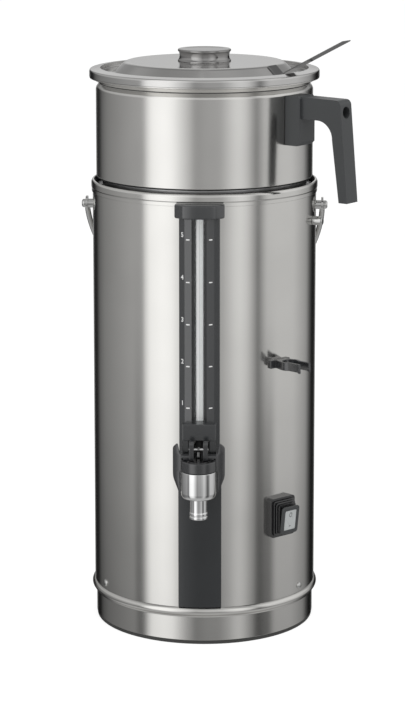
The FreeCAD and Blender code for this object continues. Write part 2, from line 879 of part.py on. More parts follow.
# Tap body, gasket, nut and bonnet

chamber = dim.tap_cup_radius - dim.tap_cup_wall
chamber_floor = dim.tap_cup_low + dim.tap_cup_floor
nozzle_low = dim.tap_cup_low - dim.nozzle_length
nozzle_out = dim.nozzle_radius + dim.nozzle_ring
ring_one = nozzle_low + dim.nozzle_ring_height
ring_two = ring_one + dim.nozzle_groove
ring_end = ring_two + dim.nozzle_ring_height
edge = dim.nozzle_ring
cup = turned("tap_cup", [
    (dim.nozzle_bore, nozzle_low),
    (nozzle_out - edge, nozzle_low),
    (nozzle_out, nozzle_low + edge),
    (nozzle_out, ring_one - edge),
    (dim.nozzle_radius, ring_one),
    (dim.nozzle_radius, ring_two),
    (nozzle_out, ring_two + edge),
    (nozzle_out, ring_end - edge),
    (dim.nozzle_radius, ring_end),
    (dim.nozzle_radius, dim.tap_cup_low),
    (dim.tap_cup_radius - dim.tap_cup_curve, dim.tap_cup_low, dim.tap_cup_curve),
    (dim.tap_cup_radius, dim.tap_cup_low + dim.tap_cup_curve),
    (dim.tap_cup_radius, cup_top),
    (chamber, cup_top),
    (chamber, chamber_floor),
    (dim.nozzle_bore, chamber_floor),
])
place(cup, 0, -dim.tap_reach, 0)
flange_back = trim_outer + dim.gasket_wall
flange_front = flange_back + dim.tap_flange_wall
stub = outward("tap_stub", dim.tap_stub_radius, dim.pipe_end_reach, dim.tap_reach, z=dim.tap_inlet_height)
tap_flange = outward("tap_flange", dim.tap_flange_radius, flange_back, flange_front, z=dim.tap_inlet_height)
tap_flange_top = dim.tap_inlet_height + dim.tap_flange_radius
tap_outside = joined("tap_outside", [cup, stub, tap_flange])
chamber_space = upright("tap_chamber", chamber, chamber_floor, cup_top + 1, y=-dim.tap_reach)
stub_bore = outward("tap_stub_bore", dim.pipe_bore, dim.pipe_end_reach - 1, dim.tap_reach,
                    z=dim.tap_inlet_height)
port_bore = upright("tap_port_bore", dim.riser_bore, dim.tap_inlet_height, tap_flange_top + 1,
                    y=-dim.glass_reach)
part(cut("tap_body_cut", tap_outside, [chamber_space, stub_bore, port_bore]), "tap_body")

gasket = outward("tap_gasket_disc", dim.tap_flange_radius, trim_outer, flange_back, z=dim.tap_inlet_height)
gasket_hole = outward("tap_gasket_hole", dim.tap_stub_radius, trim_outer - 1, flange_back + 1,
                      z=dim.tap_inlet_height)
part(cut("tap_gasket_cut", gasket, [gasket_hole]), "tap_gasket")

nut_front = shell_inner - dim.nut_gap


def hexagon(name, across, low, high, z=0):
    item = doc.addObject("Part::Prism", name)
    item.Polygon = 6
    bind(item, "Circumradius", across / 2 / 0.8660254)
    bind(item, "Height", as_size(high) - as_size(low))
    item.Placement.Rotation = FreeCAD.Rotation(vector(1, 0, 0), 90)
    place(item, 0, -as_size(low), z)
    return item


nut = hexagon("tap_nut_hex", dim.tap_nut_across, nut_front - dim.tap_nut_wall, nut_front,
              z=dim.tap_inlet_height)
nut_hole = outward("tap_nut_hole", dim.tap_stub_radius, nut_front - dim.tap_nut_wall - 1, nut_front + 1,
                   z=dim.tap_inlet_height)
part(cut("tap_nut_cut", nut, [nut_hole]), "tap_nut")

stem_bore = dim.stem_radius + dim.stem_slip
bonnet_top = cup_top + dim.bonnet_height
plug_radius = chamber
bonnet = turned("tap_bonnet_body", [
    (stem_bore, cup_top - dim.bonnet_plug_depth),
    (plug_radius, cup_top - dim.bonnet_plug_depth),
    (plug_radius, cup_top),
    (dim.bonnet_radius, cup_top),
    (dim.bonnet_radius, bonnet_top - dim.bonnet_bevel),
    (dim.bonnet_radius - dim.bonnet_bevel, bonnet_top),
    (stem_bore, bonnet_top),
])
place(bonnet, 0, -dim.tap_reach, 0)
part(bonnet, "tap_bonnet")


# Valve stem, seal and spring

seal_low = chamber_floor + dim.seat_gap
disc_low = seal_low + dim.seal_wall
disc_top = disc_low + dim.stem_disc_wall
stem = turned("stem_rod", [
    (0, disc_low),
    (dim.stem_disc_radius, disc_low),
    (dim.stem_disc_radius, disc_top),
    (dim.stem_radius, disc_top),
    (dim.stem_radius, dim.pin_height),
    (0, dim.pin_height),
])
place(stem, 0, -dim.tap_reach, 0)
barrel = crosswise("stem_barrel", dim.barrel_radius, -dim.barrel_half_width, dim.barrel_half_width,
                   y=-dim.tap_reach, z=dim.pin_height)
pin_hole = crosswise("stem_pin_hole", dim.pin_radius + dim.pin_slip, -dim.barrel_half_width - 1,
                     dim.barrel_half_width + 1, y=-dim.tap_reach, z=dim.pin_height)
part(cut("valve_stem_cut", joined("stem_whole", [stem, barrel]), [pin_hole]), "valve_stem")

seal = upright("valve_seal_disc", dim.seal_radius, seal_low, disc_low, y=-dim.tap_reach)
part(seal, "valve_seal")


def coil_path(radius, low, high, turns):
    """A helix as pairs of tangent arcs, two pairs to a turn."""
    steps = int(round(turns * 2))
    rise = (high - low) / steps
    points = []
    tangents = []
    for number in range(steps + 1):
        angle = math.pi * number
        points.append(vector(radius * math.cos(angle), radius * math.sin(angle), low + rise * number))
        slope = vector(-radius * math.sin(angle), radius * math.cos(angle), rise / math.pi)
        tangents.append(slope.normalize())
    edges = []
    for number in range(steps):
        start = points[number]
        stop = points[number + 1]
        lead = tangents[number]
        trail = tangents[number + 1]
        gap = stop - start
        square = 2 * (1 - lead.dot(trail))
        linear = 2 * gap.dot(lead + trail)
        reach = (-linear + math.sqrt(linear ** 2 + 4 * square * gap.dot(gap))) / (2 * square)
        middle = (start + lead * reach + stop - trail * reach) * 0.5
        edges.append(tangent_arc(start, lead, middle))
        edges.append(tangent_arc(stop, trail * -1, middle, backwards=True))
    return Part.Wire(edges)


def tangent_arc(start, lead, stop, backwards=False):
    """The arc from start to stop that leaves start along lead."""
    gap = stop - start
    across = (gap - lead * gap.dot(lead)).normalize()
    radius = gap.dot(gap) / (2 * gap.dot(across))
    centre = start + across * radius
    halfway = ((start + stop) * 0.5 - centre).normalize() * radius
    middle = centre + halfway
    if backwards:
        return Part.Arc(stop, middle, start).toShape()
    return Part.Arc(start, middle, stop).toShape()


def tube_along(path, radius):
    start = path.Edges[0].Vertexes[0].Point
    lead = path.Edges[0].tangentAt(path.Edges[0].FirstParameter)
    section = Part.Wire([Part.Circle(start, lead, radius).toShape()])
    return path.makePipeShell([section], True, False)


spring_low = disc_top.value + dim.spring_wire.value + dim.slip_gap.value
spring_high = (cup_top - dim.bonnet_plug_depth).value - dim.spring_wire.value - dim.slip_gap.value
spring_path = coil_path(dim.spring_coil.value, spring_low, spring_high, dim.spring_turns.value)
pitch_gap = (spring_high - spring_low) / dim.spring_turns.value - 2 * dim.spring_wire.value
print("valve spring: least gap between turns", round(pitch_gap, 2))
valve_spring = formed("valve_spring_coil", tube_along(spring_path, dim.spring_wire.value))
valve_spring.Placement.Base = vector(0, -dim.tap_reach.value, 0)
part(valve_spring, "valve_spring")


# Tap lever: an open skirt round the front of the bonnet, shoulders and a fork up to the pin, and a cheek
# flaring back on each side

skirt_outer = dim.tap_cup_radius + 0.1
skirt_inner = skirt_outer - dim.skirt_wall
skirt_low = cup_top + dim.skirt_gap
skirt_top = skirt_low + dim.skirt_height
shoulder_low = bonnet_top + dim.shoulder_gap
shoulder_top = shoulder_low + dim.shoulder_height
fork_outer = dim.fork_inner + dim.fork_wall
fork_head = dim.pin_height + dim.fork_head_rise
hood = ring("lever_hood", skirt_inner, skirt_outer, skirt_low, skirt_top)
place(hood, 0, -dim.tap_reach, 0)
hood_back = box("lever_hood_back", (-dim.cheek_outer, dim.cheek_outer),
                (-dim.tap_reach + dim.skirt_back, -dim.tap_reach + dim.cheek_outer), (skirt_low - 1, skirt_top + 1))


def fork_prong(name, low, high):
    post = box(name + "_post", (low, high), (-dim.tap_reach - dim.fork_depth, -dim.tap_reach + dim.fork_depth),
               (shoulder_low, fork_head))
    head = crosswise(name + "_head", dim.fork_depth, low, high, y=-dim.tap_reach, z=fork_head)
    return joined(name, [post, head])


def shoulder(name, sign):
    """A bar from the fork to the cheek, and a short block down to the skirt's side."""
    low, high = (dim.fork_inner, dim.shoulder_half)
    foot_low, foot_high = (skirt_inner - dim.seat_gap, dim.shoulder_half)
    if sign < 0:
        low, high = (-high, -low)
        foot_low, foot_high = (-foot_high, -foot_low)
    depth = (-dim.tap_reach - dim.shoulder_front, -dim.tap_reach + dim.shoulder_back)
    bar = box(name + "_bar", (low, high), depth, (shoulder_low, shoulder_top))
    block_depth = (-dim.tap_reach - dim.shoulder_front, -dim.tap_reach + dim.skirt_back)
    block = box(name + "_block", (foot_low, foot_high), block_depth, (skirt_low + dim.shoulder_height, shoulder_top))
    return joined(name, [bar, block])


def cheek(name, sign):
    """A thin leaf that flares out and back, trimmed to the front outline and clear of the cup."""
    inner = dim.tap_cup_radius + dim.cheek_gap
    root = dim.shoulder_half - dim.cheek_rim
    plan = [
        (root, -dim.tap_reach - dim.cheek_front),
        (dim.cheek_outer - dim.cheek_rim, -dim.tap_reach + dim.cheek_back - dim.cheek_wall, dim.cheek_rim),
        (dim.cheek_outer - dim.cheek_rim, -dim.tap_reach + dim.cheek_back),
        (root, -dim.tap_reach - dim.cheek_front + dim.cheek_wall * 1.4),
    ]
    front = [
        (inner, dim.cheek_low),
        (inner + 1.6, dim.cheek_low),
        (dim.cheek_outer + 1.0, dim.cheek_low + dim.cheek_curve),
        (dim.cheek_outer + 1.0, dim.cheek_top - 4.0),
        (dim.cheek_outer - 2.4, dim.cheek_top),
        (dim.cheek_outer - 3.4, dim.cheek_top),
        (dim.cheek_outer - 5.4, shoulder_top + 1.5),
        (dim.shoulder_half, shoulder_top),
        (root, shoulder_top),
        (root, skirt_low),
        (inner, skirt_low),
    ]
    if sign < 0:
        plan = [(-plan[3][0], plan[3][1]), (-plan[2][0], plan[2][1], dim.cheek_rim), (-plan[1][0], plan[1][1]),
                (-plan[0][0], plan[0][1])]
        front = [(-x, z) for x, z in reversed(front)]
    leaf = slab(name + "_leaf", "XY_Plane", plan, dim.cheek_low - 1, dim.cheek_top + 1)
    outline = slab(name + "_front", "XZ_Plane", front, dim.tap_reach - dim.cheek_outer,
                   dim.tap_reach + dim.cheek_outer)
    return shared(name, [leaf, outline])


hood_cut = cut("lever_hood_cut", hood, [hood_back])
lever_whole = joined("lever_whole", [
    hood_cut,
    shoulder("lever_shoulder_left", -1),
    shoulder("lever_shoulder_right", 1),
    fork_prong("lever_prong_left", -fork_outer, -dim.fork_inner),
    fork_prong("lever_prong_right", dim.fork_inner, fork_outer),
    cheek("lever_cheek_left", -1),
    cheek("lever_cheek_right", 1),
])
lever_pin_hole = crosswise("lever_pin_hole", dim.pin_radius, -dim.pin_half_length, dim.pin_half_length,
                           y=-dim.tap_reach, z=dim.pin_height)
part(cut("tap_lever_cut", lever_whole, [lever_pin_hole]), "tap_lever")
part(crosswise("lever_pin_bar", dim.pin_radius, -dim.pin_half_length, dim.pin_half_length,
               y=-dim.tap_reach, z=dim.pin_height), "lever_pin")


# Sight gauge: housing, cap, glass, seals, riser, pale strip and screws

half = dim.gauge_width / 2
seal_low_z = dim.glass_low - dim.gauge_seal_height
housing_ring = ring("gauge_housing_ring", gauge_back, gauge_front, dim.gauge_low, dim.gauge_cap_low)
housing_box = box("gauge_housing_box", (-half, half), (-gauge_front - 1, -gauge_back + 6),
                  (dim.gauge_low, dim.gauge_cap_low))
slot_half = dim.gauge_slot_width / 2
slot_back = gauge_back + dim.gauge_back_wall
arch = box("gauge_arch", (-dim.gauge_arch_half, dim.gauge_arch_half), (-gauge_front - 1, -gauge_back + 10),
           (dim.gauge_low - 1, dim.gauge_arch_top))
slot = box("gauge_slot", (-slot_half, slot_half), (-gauge_front - 1, -slot_back),
           (dim.gauge_slot_low, dim.gauge_cap_low + 1))
riser_hole = upright("gauge_riser_hole", dim.riser_radius + dim.glass_slip, dim.gauge_arch_top - 1,
                     dim.gauge_slot_low, y=-dim.glass_reach)
glass_hole = upright("gauge_glass_hole", dim.glass_radius + dim.glass_slip, seal_low_z,
                     dim.gauge_slot_low + 1, y=-dim.glass_reach)
block_front = gauge_front + dim.gauge_block_out
foot_block = box("gauge_foot_block", (-dim.gauge_block_half, dim.gauge_block_half), (-block_front, -gauge_back - 4),
                 (dim.gauge_arch_top, dim.gauge_slot_low))
legs = []
for side, (low, high) in (("left", (-dim.gauge_block_half, -dim.gauge_leg_inner)),
                          ("right", (dim.gauge_leg_inner, dim.gauge_block_half))):
    legs.append(box("gauge_leg_" + side, (low, high), (-block_front, -gauge_back - 9),
                    (dim.gauge_low + dim.gauge_leg_low, dim.gauge_arch_top + 1)))
housing_shell = cut("gauge_housing_shell", shared("gauge_housing_form", [housing_ring, housing_box]), [arch])
housing = joined("gauge_housing_whole", [housing_shell, foot_block] + legs)
part(cut("gauge_housing_cut", housing,
         [slot, riser_hole, glass_hole] + gauge_screw_holes("housing_hole", dim.gauge_screw_radius)),
     "gauge_housing")

cap_top = dim.gauge_cap_low + dim.gauge_cap_height
cap_front = gauge_front + dim.gauge_cap_out
cap_relief = rim_outer - dim.slip_gap
cap_step = dim.rim_low - dim.slip_gap
cap_ring = turned("gauge_cap_ring", [
    (gauge_back, dim.gauge_cap_low),
    (cap_front, dim.gauge_cap_low),
    (cap_front, cap_top - dim.gauge_cap_bevel),
    (cap_front - dim.gauge_cap_bevel, cap_top),
    (cap_relief, cap_top),
    (cap_relief, cap_step),
    (gauge_back, cap_step),
])
cap_face = slab("gauge_cap_face", "XZ_Plane",
                rounded(dim.gauge_cap_width / 2, dim.gauge_cap_low, cap_top, dim.gauge_cap_corner),
                gauge_back - 8, cap_front + 1)
cap_hole = upright("gauge_cap_hole", dim.glass_radius + dim.glass_slip, dim.gauge_cap_low - 1,
                   dim.glass_top + dim.gauge_seal_height, y=-dim.glass_reach)
part(cut("gauge_cap_cut", shared("gauge_cap_form", [cap_ring, cap_face]),
         [cap_hole] + gauge_screw_holes("cap_hole", dim.gauge_screw_radius)), "gauge_cap")


def sleeve(name, outer, inner, low, high):
    """A plain round tube on the gauge's axis."""
    body = ring(name, inner, outer, low, high)
    place(body, 0, -dim.glass_reach, 0)
    return body


part(sleeve("gauge_glass_tube", dim.glass_radius, dim.glass_bore, dim.glass_low, dim.glass_top), "gauge_glass")
part(sleeve("gauge_seal_low", dim.glass_radius, dim.gauge_seal_bore, seal_low_z, dim.glass_low),
     "gauge_seal_lower")
part(sleeve("gauge_seal_high", dim.glass_radius, dim.gauge_seal_bore, dim.glass_top,
            dim.glass_top + dim.gauge_seal_height), "gauge_seal_upper")
part(sleeve("gauge_riser_tube", dim.riser_radius, dim.riser_bore, tap_flange_top, seal_low_z), "gauge_riser")
strip_back = slot_back + 0.05
part(box("gauge_strip_bar", (-dim.strip_width / 2, dim.strip_width / 2),
         (-strip_back - dim.strip_wall, -strip_back), (dim.gauge_slot_low, dim.gauge_cap_low)), "gauge_strip")

gauge_screws = []
head_front = shell_inner - dim.nut_gap
for number, (side, height) in enumerate(gauge_screw_places()):
    shank = outward(f"gauge_screw_shank_{number}", dim.gauge_screw_radius, head_front, dim.gauge_screw_tip,
                    x=side, z=height)
    head = outward(f"gauge_screw_head_{number}", dim.gauge_screw_head,
                   head_front - dim.gauge_screw_head_wall, head_front, x=side, z=height)
    gauge_screws.append(joined(f"gauge_screw_{number}", [shank, head]))
part(group("gauge_screws_group", gauge_screws), "gauge_screws")


# Lower trim strip

trim_ring = ring("trim_ring", gauge_back, trim_outer, dim.trim_low, dim.gauge_low)
trim_box = box("trim_box", (-dim.trim_width / 2, dim.trim_width / 2), (-trim_outer - 1, -gauge_back + 8),
               (dim.trim_low, dim.gauge_low))
trim_hole = outward("trim_tap_hole", dim.trim_hole, gauge_back - 2, trim_outer + 1, z=dim.tap_inlet_height)
part(cut("lower_trim_cut", shared("trim_form", [trim_ring, trim_box]), [trim_hole]), "lower_trim")


# Switch: bezel, ribbed boot, rocker with its window, and the body inside

def switch_face(name, width, height, corner, low, high):
    return slab(name, "XZ_Plane",
                rounded(width / 2, dim.switch_height - height / 2, dim.switch_height + height / 2, corner),
                low, high)


bezel = switch_face("bezel_block", dim.bezel_width, dim.bezel_height, dim.bezel_corner,
                    dim.body_radius - 4, bezel_front)
bezel_back = upright("bezel_back", gauge_back, dim.switch_height - dim.bezel_height,
                     dim.switch_height + dim.bezel_height)
bezel_hole = switch_face("bezel_hole", dim.switch_cut_width, dim.switch_cut_height, dim.switch_corner,
                         dim.body_radius - 6, bezel_front + 1)
bezel_cut = cut("bezel_cut", bezel, [bezel_back, bezel_hole])
part(faced("switch_bezel_faced", [bezel_cut], dim.switch_azimuth), "switch_bezel")

boot_low = dim.body_radius + dim.seat_gap
boot_width = dim.switch_cut_width - dim.slip_gap * 2
boot_height = dim.switch_cut_height - dim.slip_gap * 2
boot_layers = [switch_face("boot_root", boot_width, boot_height, dim.switch_corner, boot_low, bezel_front)]
layer_low = bezel_front
rib_count = int(SIZES["boot_rib_count"])
for number in range(rib_count):
    rib_width = dim.boot_rib_width - dim.boot_taper * 2 * number
    rib_height = dim.boot_rib_height - dim.boot_taper * 2 * number
    groove = switch_face(f"boot_groove_{number}", rib_width - dim.boot_groove * 2,
                         rib_height - dim.boot_groove * 2, dim.switch_corner, layer_low,
                         layer_low + dim.boot_groove_out)
    layer_low = layer_low + dim.boot_groove_out
    rib = switch_face(f"boot_rib_{number}", rib_width, rib_height, dim.switch_corner,
                      layer_low, layer_low + dim.boot_rib_out)
    layer_low = layer_low + dim.boot_rib_out
    boot_layers += [groove, rib]
boot_hole = switch_face("boot_hole", dim.boot_hole_width, dim.boot_hole_height, dim.switch_corner,
                        boot_low - 1, layer_low + 1)
boot = cut("boot_cut", joined("boot_form", boot_layers), [boot_hole])
part(faced("switch_boot_faced", [boot], dim.switch_azimuth), "switch_boot")

rocker_front = bezel_front + dim.rocker_out
rocker_back = rocker_front - dim.rocker_wall
pivot_reach = bezel_front - dim.rocker_pivot_in


def tilted(name, items):
    """Pieces of the rocker, tilted about its pivot so that the top stands out."""
    about = group(name + "_about", items)
    place(about, 0, pivot_reach, -dim.switch_height)
    lean = group(name + "_lean", [about])
    lean.Placement.Rotation = FreeCAD.Rotation(vector(1, 0, 0), 0)
    lean.Placement.Rotation.Axis = vector(1, 0, 0)
    bind(lean, ".Placement.Rotation.Axis.x", 1)
    bind(lean, ".Placement.Rotation.Axis.y", 0)
    bind(lean, ".Placement.Rotation.Axis.z", 0)
    bind(lean, ".Placement.Rotation.Angle", dim.rocker_tilt)
    place(lean, 0, -pivot_reach, dim.switch_height)
    return faced(name, [lean], dim.switch_azimuth)


rocker_plate = switch_face("rocker_plate", dim.rocker_width, dim.rocker_height, dim.switch_corner, rocker_back,
                           rocker_front)
rocker_neck = switch_face("rocker_neck", dim.rocker_neck_width, dim.rocker_neck_height, dim.switch_corner,
                          pivot_reach, rocker_back)
lens_front = rocker_front - dim.lens_set_in
lens_pocket = switch_face("rocker_lens_pocket", dim.lens_width, dim.lens_height, dim.switch_corner,
                          lens_front - dim.lens_wall, rocker_front + 1)
neck_half = dim.rocker_neck_width / 2
rocker_barrel = crosswise("rocker_barrel", dim.rocker_barrel, -neck_half, neck_half, y=-pivot_reach,
                          z=dim.switch_height)
rocker = cut("rocker_cut", joined("rocker_form", [rocker_plate, rocker_neck, rocker_barrel]), [lens_pocket])
part(tilted("switch_rocker_tilted", [rocker]), "switch_rocker")
lens = switch_face("rocker_lens", dim.lens_width, dim.lens_height, dim.switch_corner,
                   lens_front - dim.lens_wall, lens_front)
part(tilted("switch_lens_tilted", [lens]), "switch_window")

switch_body_front = dim.body_radius
switch_body = switch_face("switch_body_block", dim.switch_cut_width - dim.slip_gap * 2,
                          dim.switch_cut_height - dim.slip_gap * 2, dim.switch_corner,
                          switch_body_front - dim.switch_body_depth, switch_body_front)
part(faced("switch_body_faced", [switch_body], dim.switch_azimuth), "switch_body")


# Holder clip and its screw

small_head_front = shell_inner - dim.small_nut_gap
clip_top = dim.clip_low + dim.clip_height
clip_middle = dim.clip_low + dim.clip_height / 2
clip_outer = dim.clip_hole + dim.clip_wall
prong_inner = dim.clip_prong_inner
foot_ring_piece = ring("clip_foot_ring", gauge_back, gauge_back + dim.clip_foot_wall, dim.clip_low, clip_top)
foot_box = box("clip_foot_box", (-dim.clip_foot_half, dim.clip_foot_half), (-gauge_back - 6, -gauge_back + 3),
               (dim.clip_low, clip_top))
clip_foot = shared("clip_foot", [foot_ring_piece, foot_box])
clip_neck = slab("clip_neck", "XY_Plane", [
    (-dim.clip_neck_half, -gauge_back - 0.5),
    (-clip_outer + 0.1, -dim.clip_reach),
    (clip_outer - 0.1, -dim.clip_reach),
    (dim.clip_neck_half, -gauge_back - 0.5),
], dim.clip_low, clip_top)
clip_round = upright("clip_round", clip_outer, dim.clip_low, clip_top, y=-dim.clip_reach)
prongs = []
for side, low in (("left", -(prong_inner + dim.clip_prong_wall)), ("right", prong_inner)):
    prongs.append(box(f"clip_prong_{side}", (low, low + dim.clip_prong_wall),
                      (-dim.clip_tip_reach, -dim.clip_reach), (dim.clip_low, clip_top)))
    prongs.append(box(f"clip_tip_{side}", (low, low + dim.clip_prong_wall),
                      (-dim.clip_tip_reach, -dim.clip_tip_reach + dim.clip_prong_wall),
                      (dim.clip_low - dim.clip_tip_drop, clip_top)))
clip_bore = upright("clip_bore", dim.clip_hole, dim.clip_low - 1, clip_top + 1, y=-dim.clip_reach)
clip_mouth = box("clip_mouth", (-prong_inner, prong_inner), (-dim.clip_tip_reach - 1, -dim.clip_reach),
                 (dim.clip_low - 3, clip_top + 1))
clip_screw_hole = outward("clip_screw_hole", dim.clip_screw_radius, gauge_back - 1,
                          dim.body_radius + dim.clip_screw_depth, z=clip_middle)
clip = cut("clip_cut", joined("clip_form", [clip_foot, clip_neck, clip_round] + prongs),
           [clip_bore, clip_mouth, clip_screw_hole])
part(faced("holder_clip_faced", [clip], dim.clip_azimuth), "holder_clip")
clip_screw = joined("clip_screw_form", [
    outward("clip_screw_shank", dim.clip_screw_radius, small_head_front,
            dim.body_radius + dim.clip_screw_depth, z=clip_middle),
    outward("clip_screw_head", dim.clip_screw_head, small_head_front - dim.gauge_screw_head_wall,
            small_head_front, z=clip_middle),
])
part(faced("clip_screw_faced", [clip_screw], dim.clip_azimuth), "clip_screw")


# Bail with its bolts, spacers and nuts, and the stop stud

eye_low = dim.body_radius + dim.bail_spacer_out
eye_high = eye_low + dim.bail_eye_wall
eye_middle = eye_low + dim.bail_eye_wall / 2
bolt_head = eye_high + dim.bail_side_slip
bolt_end = bolt_head + dim.bail_head_wall
sides = (("right", as_size(90)), ("left", as_size(-90)))


def both_sides(name, make):
    return [faced(f"{name}_{side}", [make(f"{name}_piece_{side}")], azimuth) for side, azimuth in sides]


def pivot_bolt(name):
    shank = outward(name + "_shank", dim.bail_bolt_radius, small_head_front - dim.bail_nut_wall,
                    bolt_head, z=dim.bail_height)
    head = outward(name + "_head", dim.bail_head_radius, bolt_head, bolt_end, z=dim.bail_height)
    return joined(name, [shank, head])


def pivot_spacer(name):
    outside = outward(name + "_outside", dim.bail_spacer_radius, dim.body_radius - 0.1,
                      eye_low - dim.bail_side_slip, z=dim.bail_height)
    inside = outward(name + "_inside", dim.bail_bolt_radius, dim.body_radius - 1, eye_low + 1,
                     z=dim.bail_height)
    return cut(name, outside, [inside, upright(name + "_wall", dim.body_radius, dim.bail_height - 9,
                                               dim.bail_height + 9)])


def pivot_nut(name):
    outside = hexagon(name + "_outside", dim.bail_nut_across, small_head_front - dim.bail_nut_wall,
                      small_head_front, z=dim.bail_height)
    inside = outward(name + "_inside", dim.bail_bolt_radius, shell_inner - 8, shell_inner + 1,
                     z=dim.bail_height)
    return cut(name, outside, [inside])


part(group("bail_bolts_group", both_sides("bail_bolt", pivot_bolt)), "bail_bolts")
part(group("bail_spacers_group", both_sides("bail_spacer", pivot_spacer)), "bail_spacers")
part(group("bail_nuts_group", both_sides("bail_nut", pivot_nut)), "bail_nuts")


def bail_shape():
    """Two long side arcs and a bow, all tangent, with a flattened eye at each end. Drawn hanging down
    in the XZ plane, then swung back until the bow lies against the body."""
    across = eye_middle.value
    length = SIZES["bail_length"]
    bow = SIZES["bail_bow"]
    rod = SIZES["bail_rod"]
    side = (across ** 2 + length ** 2 - 2 * length * bow) / (2 * (across - bow))
    side_centre = vector(across - side, 0, 0)
    bow_centre = vector(0, 0, -(length - bow))
    seam = side_centre + (bow_centre - side_centre).normalize() * side
    first_angle = math.asin(SIZES["bail_eye_radius"] * 0.75 / side)
    seam_angle = math.atan2(-seam.z, seam.x - side_centre.x)
    middle_angle = (first_angle + seam_angle) / 2

    def on_side(angle):
        return vector(side_centre.x + side * math.cos(angle), 0, -side * math.sin(angle))

    def mirrored(point):
        return vector(-point.x, point.y, point.z)

    start = on_side(first_angle)
    middle = on_side(middle_angle)
    bottom = vector(0, 0, -length)
    wire = Part.Wire([
        Part.Arc(start, middle, seam).toShape(),
        Part.Arc(seam, bottom, mirrored(seam)).toShape(),
        Part.Arc(mirrored(seam), mirrored(middle), mirrored(start)).toShape(),
    ])
    solids = [tube_along(wire, rod)]
    eye_wall = SIZES["bail_eye_wall"]
    hole = SIZES["bail_bolt_radius"] + SIZES["bail_bolt_slip"]
    holes = []
    for sign in (-1, 1):
        base = vector(sign * across - eye_wall / 2, 0, 0)
        solids.append(Part.makeCylinder(SIZES["bail_eye_radius"], eye_wall, base, vector(1, 0, 0)))
        hole_base = vector(sign * across - eye_wall * 2, 0, 0)
        holes.append(Part.makeCylinder(hole, eye_wall * 4, hole_base, vector(1, 0, 0)))
    whole = solids[0].fuse(solids[1:])
    # The rod is flattened beside the eye, so that it clears the spacer and the bolt's head
    trim = []
    for sign in (-1, 1):
        for low, high in ((across - 8, across - eye_wall / 2), (across + eye_wall / 2, across + 8)):
            size = SIZES["bail_eye_radius"] * 2 + 1
            corner = vector(min(sign * low, sign * high), -size / 2, -SIZES["bail_eye_radius"])
            trim.append(Part.makeBox(high - low, size, size, corner))
    whole = whole.cut(trim + holes)
    return whole.removeSplitter()


bail_swing = math.asin((dim.body_radius.value + dim.seat_gap.value + dim.bail_rod.value)
                       / dim.bail_length.value)
bail = formed("bail_form", bail_shape())
bail.Placement = FreeCAD.Placement(vector(0, 0, dim.bail_height.value),
                                   FreeCAD.Rotation(vector(1, 0, 0), math.degrees(bail_swing)))
part(bail, "bail")
print("bail hangs", round(math.degrees(bail_swing), 2), "degrees back from straight down")

stop_stud = joined("stop_form", [
    outward("stop_head", dim.stop_radius, dim.body_radius, dim.body_radius + dim.stop_out, z=dim.stop_height),
    outward("stop_shank", dim.bail_bolt_radius, shell_inner - dim.bail_nut_wall, dim.body_radius + 1,
            z=dim.stop_height),
])
part(faced("bail_stop_faced", [stop_stud], dim.stop_azimuth), "bail_stop")


# Filter basket and filter plate

shoulder = basket_low + dim.sheet_wall
basket_inner = dim.basket_radius - dim.sheet_wall
neck_height = dim.basket_top + dim.basket_neck_rise
neck_inner = dim.basket_neck - dim.sheet_wall
spigot_inner = dim.basket_spigot - dim.sheet_wall
spout_bore = dim.basket_spout - dim.sheet_wall
basket = turned("basket_form", [
    (spout_bore, dim.basket_spout_low),
    (dim.basket_spout, dim.basket_spout_low),
    (dim.basket_spout, dim.basket_spigot_low - 2.0),
    (dim.basket_spigot, dim.basket_spigot_low),
    (dim.basket_spigot, basket_low),
    (dim.basket_radius, basket_low),
    (dim.basket_radius, dim.basket_top),
    (dim.basket_neck, neck_height),
    (dim.basket_neck + 3.5, neck_height + 1.9),
    (dim.basket_neck + 6.2, basket_mouth_top - 1.6),
    (dim.basket_mouth, basket_mouth_top - dim.sheet_wall * 0.8),
    (dim.basket_mouth, basket_mouth_top),
    (dim.basket_neck + 5.7, basket_mouth_top - 0.6),
    (dim.basket_neck + 2.7, neck_height + 2.9),
    (neck_inner, neck_height + 0.4),
    (neck_inner, neck_height - 0.5),
    (basket_inner, dim.basket_top - 0.4),
    (basket_inner, shoulder),
    (spigot_inner, shoulder),
    (spigot_inner, dim.basket_spigot_low + dim.sheet_wall),
    (spout_bore, dim.basket_spigot_low - 1.0),
])
basket_screw_hole = faced("basket_screw_hole", [
    outward("basket_screw_bar", dim.handle_screw_radius, basket_inner - 4, dim.basket_radius + 2,
            z=dim.handle_hole_height)], dim.handle_azimuth)
part(cut("filter_basket_cut", basket, [basket_screw_hole]), "filter_basket")

filter_radius = basket_inner - dim.handle_gap
filter_disc = upright("filter_disc", filter_radius, shoulder, shoulder + dim.filter_wall)
filter_holes = [upright("filter_hole_centre", dim.filter_hole, shoulder - 1, shoulder + 3)]
for circle in range(1, int(SIZES["filter_rings"])):
    for number in range(6 * circle):
        angle = as_size(360.0 * number / (6 * circle))
        reach = dim.filter_ring_gap * circle
        filter_holes.append(upright(f"filter_hole_{circle}_{number}", dim.filter_hole, shoulder - 1, shoulder + 3,
                                    x=reach * cosine(angle), y=reach * sine(angle)))
part(cut("filter_plate_cut", filter_disc, filter_holes), "filter_plate")


# Basket handle, its screw, backing plate and nut

